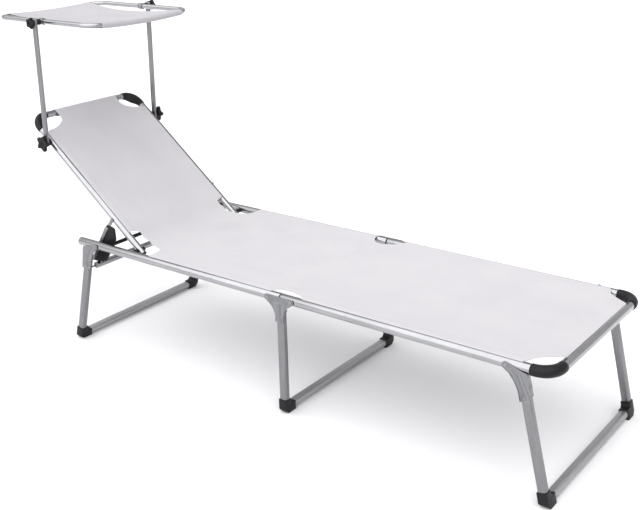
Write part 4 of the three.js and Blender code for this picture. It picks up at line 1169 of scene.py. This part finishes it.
def build_backrest_sheet():
    """From the sleeve's seam round the top bar, down the backrest and over the hinge on to the seat.
    Its line is drawn in the backrest's own plane, and its width at each place follows."""
    wrap = BACK_R + 0.3 + CLOTH / 2
    line = [Vector((-BACK_LONG + 24, BACK_TOP - 1.3))]
    line += [Vector((-BACK_LONG - wrap * sin(a), -wrap * cos(a))) for a in range(-14, 180, 9)]
    at_top = len(line)

    # The seat's plane in the backrest's own frame, where the planes meet, and the bend between them
    to_back = back_at.inverted() @ frame_at
    low, high = (to_back @ Vector((x, 0, SEAT_TOP)) for x in (HINGE_X, SEAT_END))
    low, high = Vector((low.x, low.z)), Vector((high.x, high.z))
    ahead = (high - low).normalized()
    meet = low + ahead * (BACK_TOP - low.y) / ahead.y
    turn = math.acos(ahead.x)
    reach = BEND_R * math.tan(turn / 2)
    bend_start = meet.x - reach
    line += [Vector((x, BACK_TOP)) for x, _ in spaced(-BACK_LONG, bend_start, 0, 8)]
    centre = Vector((bend_start, BACK_TOP + math.copysign(BEND_R, ahead.y)))
    for k in range(1, 13):
        a = turn * k / 12
        line.append(centre + Vector((math.sin(a), -math.copysign(math.cos(a), ahead.y))) * BEND_R)
    flat_seat = (high - line[-1]).length
    line += [line[-1] + ahead * s for s, _ in spaced(0, flat_seat, 0, 9)[1:]]
    travelled = [0.0]
    for a, b in zip(line, line[1:]):
        travelled.append(travelled[-1] + (b - a).length)
    top, end = travelled[at_top], travelled[-1]
    hinge_at = top + BACK_LONG

    # Half widths: the sleeve, out to the rail's slot, the cut beside the hinge, and the seat's slot
    slot = BACK_Y - BACK_R * sin(BACK_SLOT)
    upper = [(2, 128.4), (31.2, 128.9), (46, 138.6), (56, 154.5), (64, 173), (66.5, 190), (66.8, 201)]
    upper.append((67, slot))
    lower = [(66, slot), (65.1, 205), (63.1, 197), (55.9, 179.3), (29.6, 181.4), (6, 178)]
    seat = [(18.7, 185.3), (55.5, 194.5), (76, 207.6), (82.4, 228.3), (84, 248), (84.3, RAIL_Y)]
    edge = [(0.0, 128.4), *curve_through([(top + s, half) for s, half in upper], 4)]
    cut = curve_through([(hinge_at - s, half) for s, half in lower], 4)
    cut += curve_through([(end - (SEAT_END - HINGE_X) + s, half) for s, half in seat], 4)
    edge += [*cut, (end, RAIL_Y)]

    stations = sorted([*travelled, *(a for a, _ in edge[1:])])
    stations = [0.0] + [a for before, a in zip(stations, stations[1:]) if a - before > 0.15]

    def surface(a, y):
        i = max(1, next((i for i, t in enumerate(travelled) if t >= a - 1e-9), len(travelled) - 1))
        along = (line[i] - line[i - 1]).normalized()
        here = line[i] - along * (travelled[i] - a)
        from_top = between(a, top, top + 120)
        on_seat = between(a, hinge_at - 50, hinge_at + 50)
        sag = BACK_SAG * max(0.0, 1 - (y / BACK_Y) ** 2) * from_top
        lip = pairs_at(slot - abs(y), BACK_LIP) if top + 40 < a < hinge_at else 0.0
        on_back = ripple(a, y, BACK_Y) * from_top - sag - lip
        offset = on_back * (1 - on_seat) + seat_offset(a - end + SEAT_END, y) * on_seat
        p = here + Vector((-along.y, along.x)) * offset
        return (p.x, y, p.y)

    obj = make_sheet(
        "sling_back_and_seat", [(a, pairs_at(a, edge)) for a in stations], surface, back_at,
        ("sling_back",),
    )
    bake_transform(obj)


def build_canopy_sheet():
    """From under one end tube, round it, across and round the other."""
    wrap = CANOPY_R + 0.3 + CLOTH / 2
    half, steps = CANOPY_HALF_LONG, 36
    shares = [-1 + 2 * i / steps for i in range(1, steps)]
    line = [
        *arc(-half, 0, wrap, 28, -258, 22),
        (-half, wrap),
        *((half * s, wrap - CANOPY_SAG * (1 - s * s)) for s in shares),
        *arc(half, 0, wrap, 90, -196, 22),
    ]
    travelled = [0.0]
    for a, b in zip(line, line[1:]):
        travelled.append(travelled[-1] + math.dist(a, b))
    full = CANOPY_HALF_WIDE - CANOPY_BEND
    where = dict(zip(travelled, line))

    def width(a):
        x = where[a][0]
        return full + 3 - CANOPY_DRAW * max(0.0, 1 - (x / half) ** 2)

    def surface(a, y):
        x, z = where[a]
        middle = max(0.0, 1 - (x / half) ** 2)
        crease = 0.5 * math.sin(y / 23.0 + x / 60.0) * middle
        roll = -1.6 * middle * math.exp(-(((width(a) - abs(y)) / 5.0) ** 2))
        return (x, y, z + bow_at(y) + crease + roll)

    rows = [(a, width(a)) for a in travelled]
    obj = make_sheet(
        "canopy_cloth_sheet", rows, surface, canopy_at, ("canopy_cloth",), CANOPY_FABRIC_PAINTED_SHADE
    )
    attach(obj, "canopy")


# All the pieces


def build_frame_pieces():
    at_fold = 2.25
    foot_end = BAR_X - FOOT_BEND - SLEEVE - GAP
    head_pins, foot_pins = (HEAD_PIN, -FOLD_PIN), (FOLD_PIN, FOOT_PIN)
    head_rail = partial(side_rail, -HEAD_END, -at_fold, head_pins)
    foot_rail = partial(side_rail, at_fold, foot_end, foot_pins)
    both_sides("rail_head", head_rail, frame_at, BRIGHT, "head_frame")
    both_sides("rail_foot", foot_rail, frame_at, BRIGHT, "foot_frame")
    both_sides("pins_head", partial(pin_heads, head_pins), frame_at, STEEL, "head_frame", "none")
    both_sides("pins_foot", partial(pin_heads, foot_pins), frame_at, STEEL, "foot_frame", "none")
    both_sides("rivet_head", partial(rail_rivet, -245), frame_at, STEEL, "head_frame", "none")
    both_sides("rivet_foot", partial(rail_rivet, 219), frame_at, STEEL, "foot_frame", "none")
    both_sides("cap_head", rail_cap, frame_at, GREY, "head_frame")
    both_sides("hinge_bolt", hinge_bolt, frame_at, BLACK, "head_frame")
    corner_at = frame_at @ Matrix.Translation((BAR_X - FOOT_BEND, RAIL_Y - FOOT_BEND, RAIL_Z))
    corner = partial(elbow, FOOT_BEND, RAIL_R + 1.5, 10.8, 4)
    both_sides("corner_foot", corner, corner_at, BLACK, "foot_frame")
    half = RAIL_Y - FOOT_BEND - SLEEVE - GAP
    bar = prism(shifted(rail_loops(RAIL_R), BAR_X, RAIL_Z), -half, half, in_xz, edge=0.25)
    piece("bar_foot_end_tube", bar, frame_at, BRIGHT, ("bar_foot_end",), "foot_frame")


def build_leg_pieces():
    both_sides("fold_bracket", fold_bracket, frame_at, PLATE, "middle_leg")
    both_sides("leg_middle", partial(leg_tube, RAIL_Z - 17), frame_at, BRUSHED, "middle_leg")
    both_sides("foot_middle", partial(foot_block, 0), frame_at, BLACK, "middle_leg")
    piece("crossbar_middle_tube", crossbar(), frame_at, BAR_FINISH, ("crossbar_middle",), "middle_leg")
    for end, place, lean, bracket in (
        ("foot", foot_leg_at, FOOT_LEAN, partial(end_bracket, FOOT_LEAN, math.inf)),
        ("head", head_leg_at, HEAD_LEAN, head_bracket),
    ):
        ground = -(RAIL_Z + LEG_OFFSET * sin(lean)) / cos(lean)
        leaning = place @ turned((0, 0, 0), -lean) @ Matrix.Translation((LEG_OFFSET, 0, ground))
        body = f"{end}_leg"
        both_sides(f"bracket_{end}", bracket, place, PLATE, body)
        top = leg_top_at(lean) - ground
        both_sides(f"leg_{end}", partial(leg_tube, top), leaning, BRUSHED, body)
        both_sides(f"foot_{end}", partial(foot_block, lean), leaning, BLACK, body)
        piece(f"crossbar_{end}_tube", crossbar(), leaning, BAR_FINISH, (f"crossbar_{end}",), body)
    both_sides("tie_plug", tie_plug, head_leg_at, GREY, "head_leg", "none")
    loops = shifted([circle(TIE_R, 40), circle(TIE_R - 1.5, 32)], TIE_X, TIE_Z)
    tie = prism(loops, -TIE_END, TIE_END, in_xz, edge=0.3)
    piece("tie_tube_round", tie, head_leg_at, BRIGHT, ("tie_tube",), "head_leg")


def build_back_pieces():
    both_sides("rail_back", back_rail, back_at, BRIGHT, "backrest")
    both_sides("plug_back", back_plug, back_at, BLACK, "backrest")
    middle = Matrix.Translation((BACK_BEND - BACK_LONG, BACK_Y - BACK_BEND, 0))
    corner_at = back_at @ middle @ Matrix.Rotation(math.pi / 2, 4, "Z")
    corner = partial(elbow, BACK_BEND, BACK_R + 1.2, 8.7, BACK_WEB)
    both_sides("corner_back", corner, corner_at, BLACK, "backrest")
    half = BACK_Y - BACK_BEND - SLEEVE - GAP
    loops = shifted([circle(BACK_R, 44), circle(BACK_R - 1.5, 32)], -BACK_LONG, 0)
    bar = prism(loops, -half, half, in_xz, edge=0.25)
    piece("bar_back_top_tube", bar, back_at, BRIGHT, ("bar_back_top",), "backrest")
    clamp_at = back_at @ Matrix.Translation((-ARM_PIVOT, 0, 0))
    both_sides("clamp_lower", lower_clamp, clamp_at, BLACK, "backrest")
    both_sides("stay_bar", stay_bar, stay_at, BRUSHED, "stay")
    both_sides("stay_rack", rack, stay_at, BLACK, "stay")
    end, shoulder = RACK_OUT, RACK_IN - GAP
    half_rod = [(6, shoulder), (4.5, shoulder), (4.5, end), (0, end)]
    profile = [(radius, -along) for radius, along in reversed(half_rod)] + half_rod
    rod = turned_form(profile, ROD_X, ROD_Z)
    piece("stay_rod_round", rod, stay_at, BLACK, ("stay_rod",), "stay")


def build_canopy_pieces():
    both_sides("arm", arm, arms_at, BRUSHED, "canopy_arms")
    both_sides("clamp_upper", upper_clamp, canopy_at, BRUSHED, "canopy")
    both_sides("boss_upper", upper_boss, canopy_at, BLACK, "canopy", "none")
    piece("canopy_frame_tube", canopy_frame(), canopy_at, BRIGHT, ("canopy_frame",), "canopy")
    for side, mirror in SIDES:
        for level, place in (("lower", arms_at), ("upper", canopy_at)):
            name = f"knob_{level}_{side}"
            piece(name + "_star", knob(KNOB_R[level]), mirror @ place, BLACK, (name,), name + "_body")


add_camera()
add_studio()
build_frame_pieces()
build_leg_pieces()
build_back_pieces()
build_canopy_pieces()
build_seat()
build_backrest_sheet()
build_canopy_sheet()
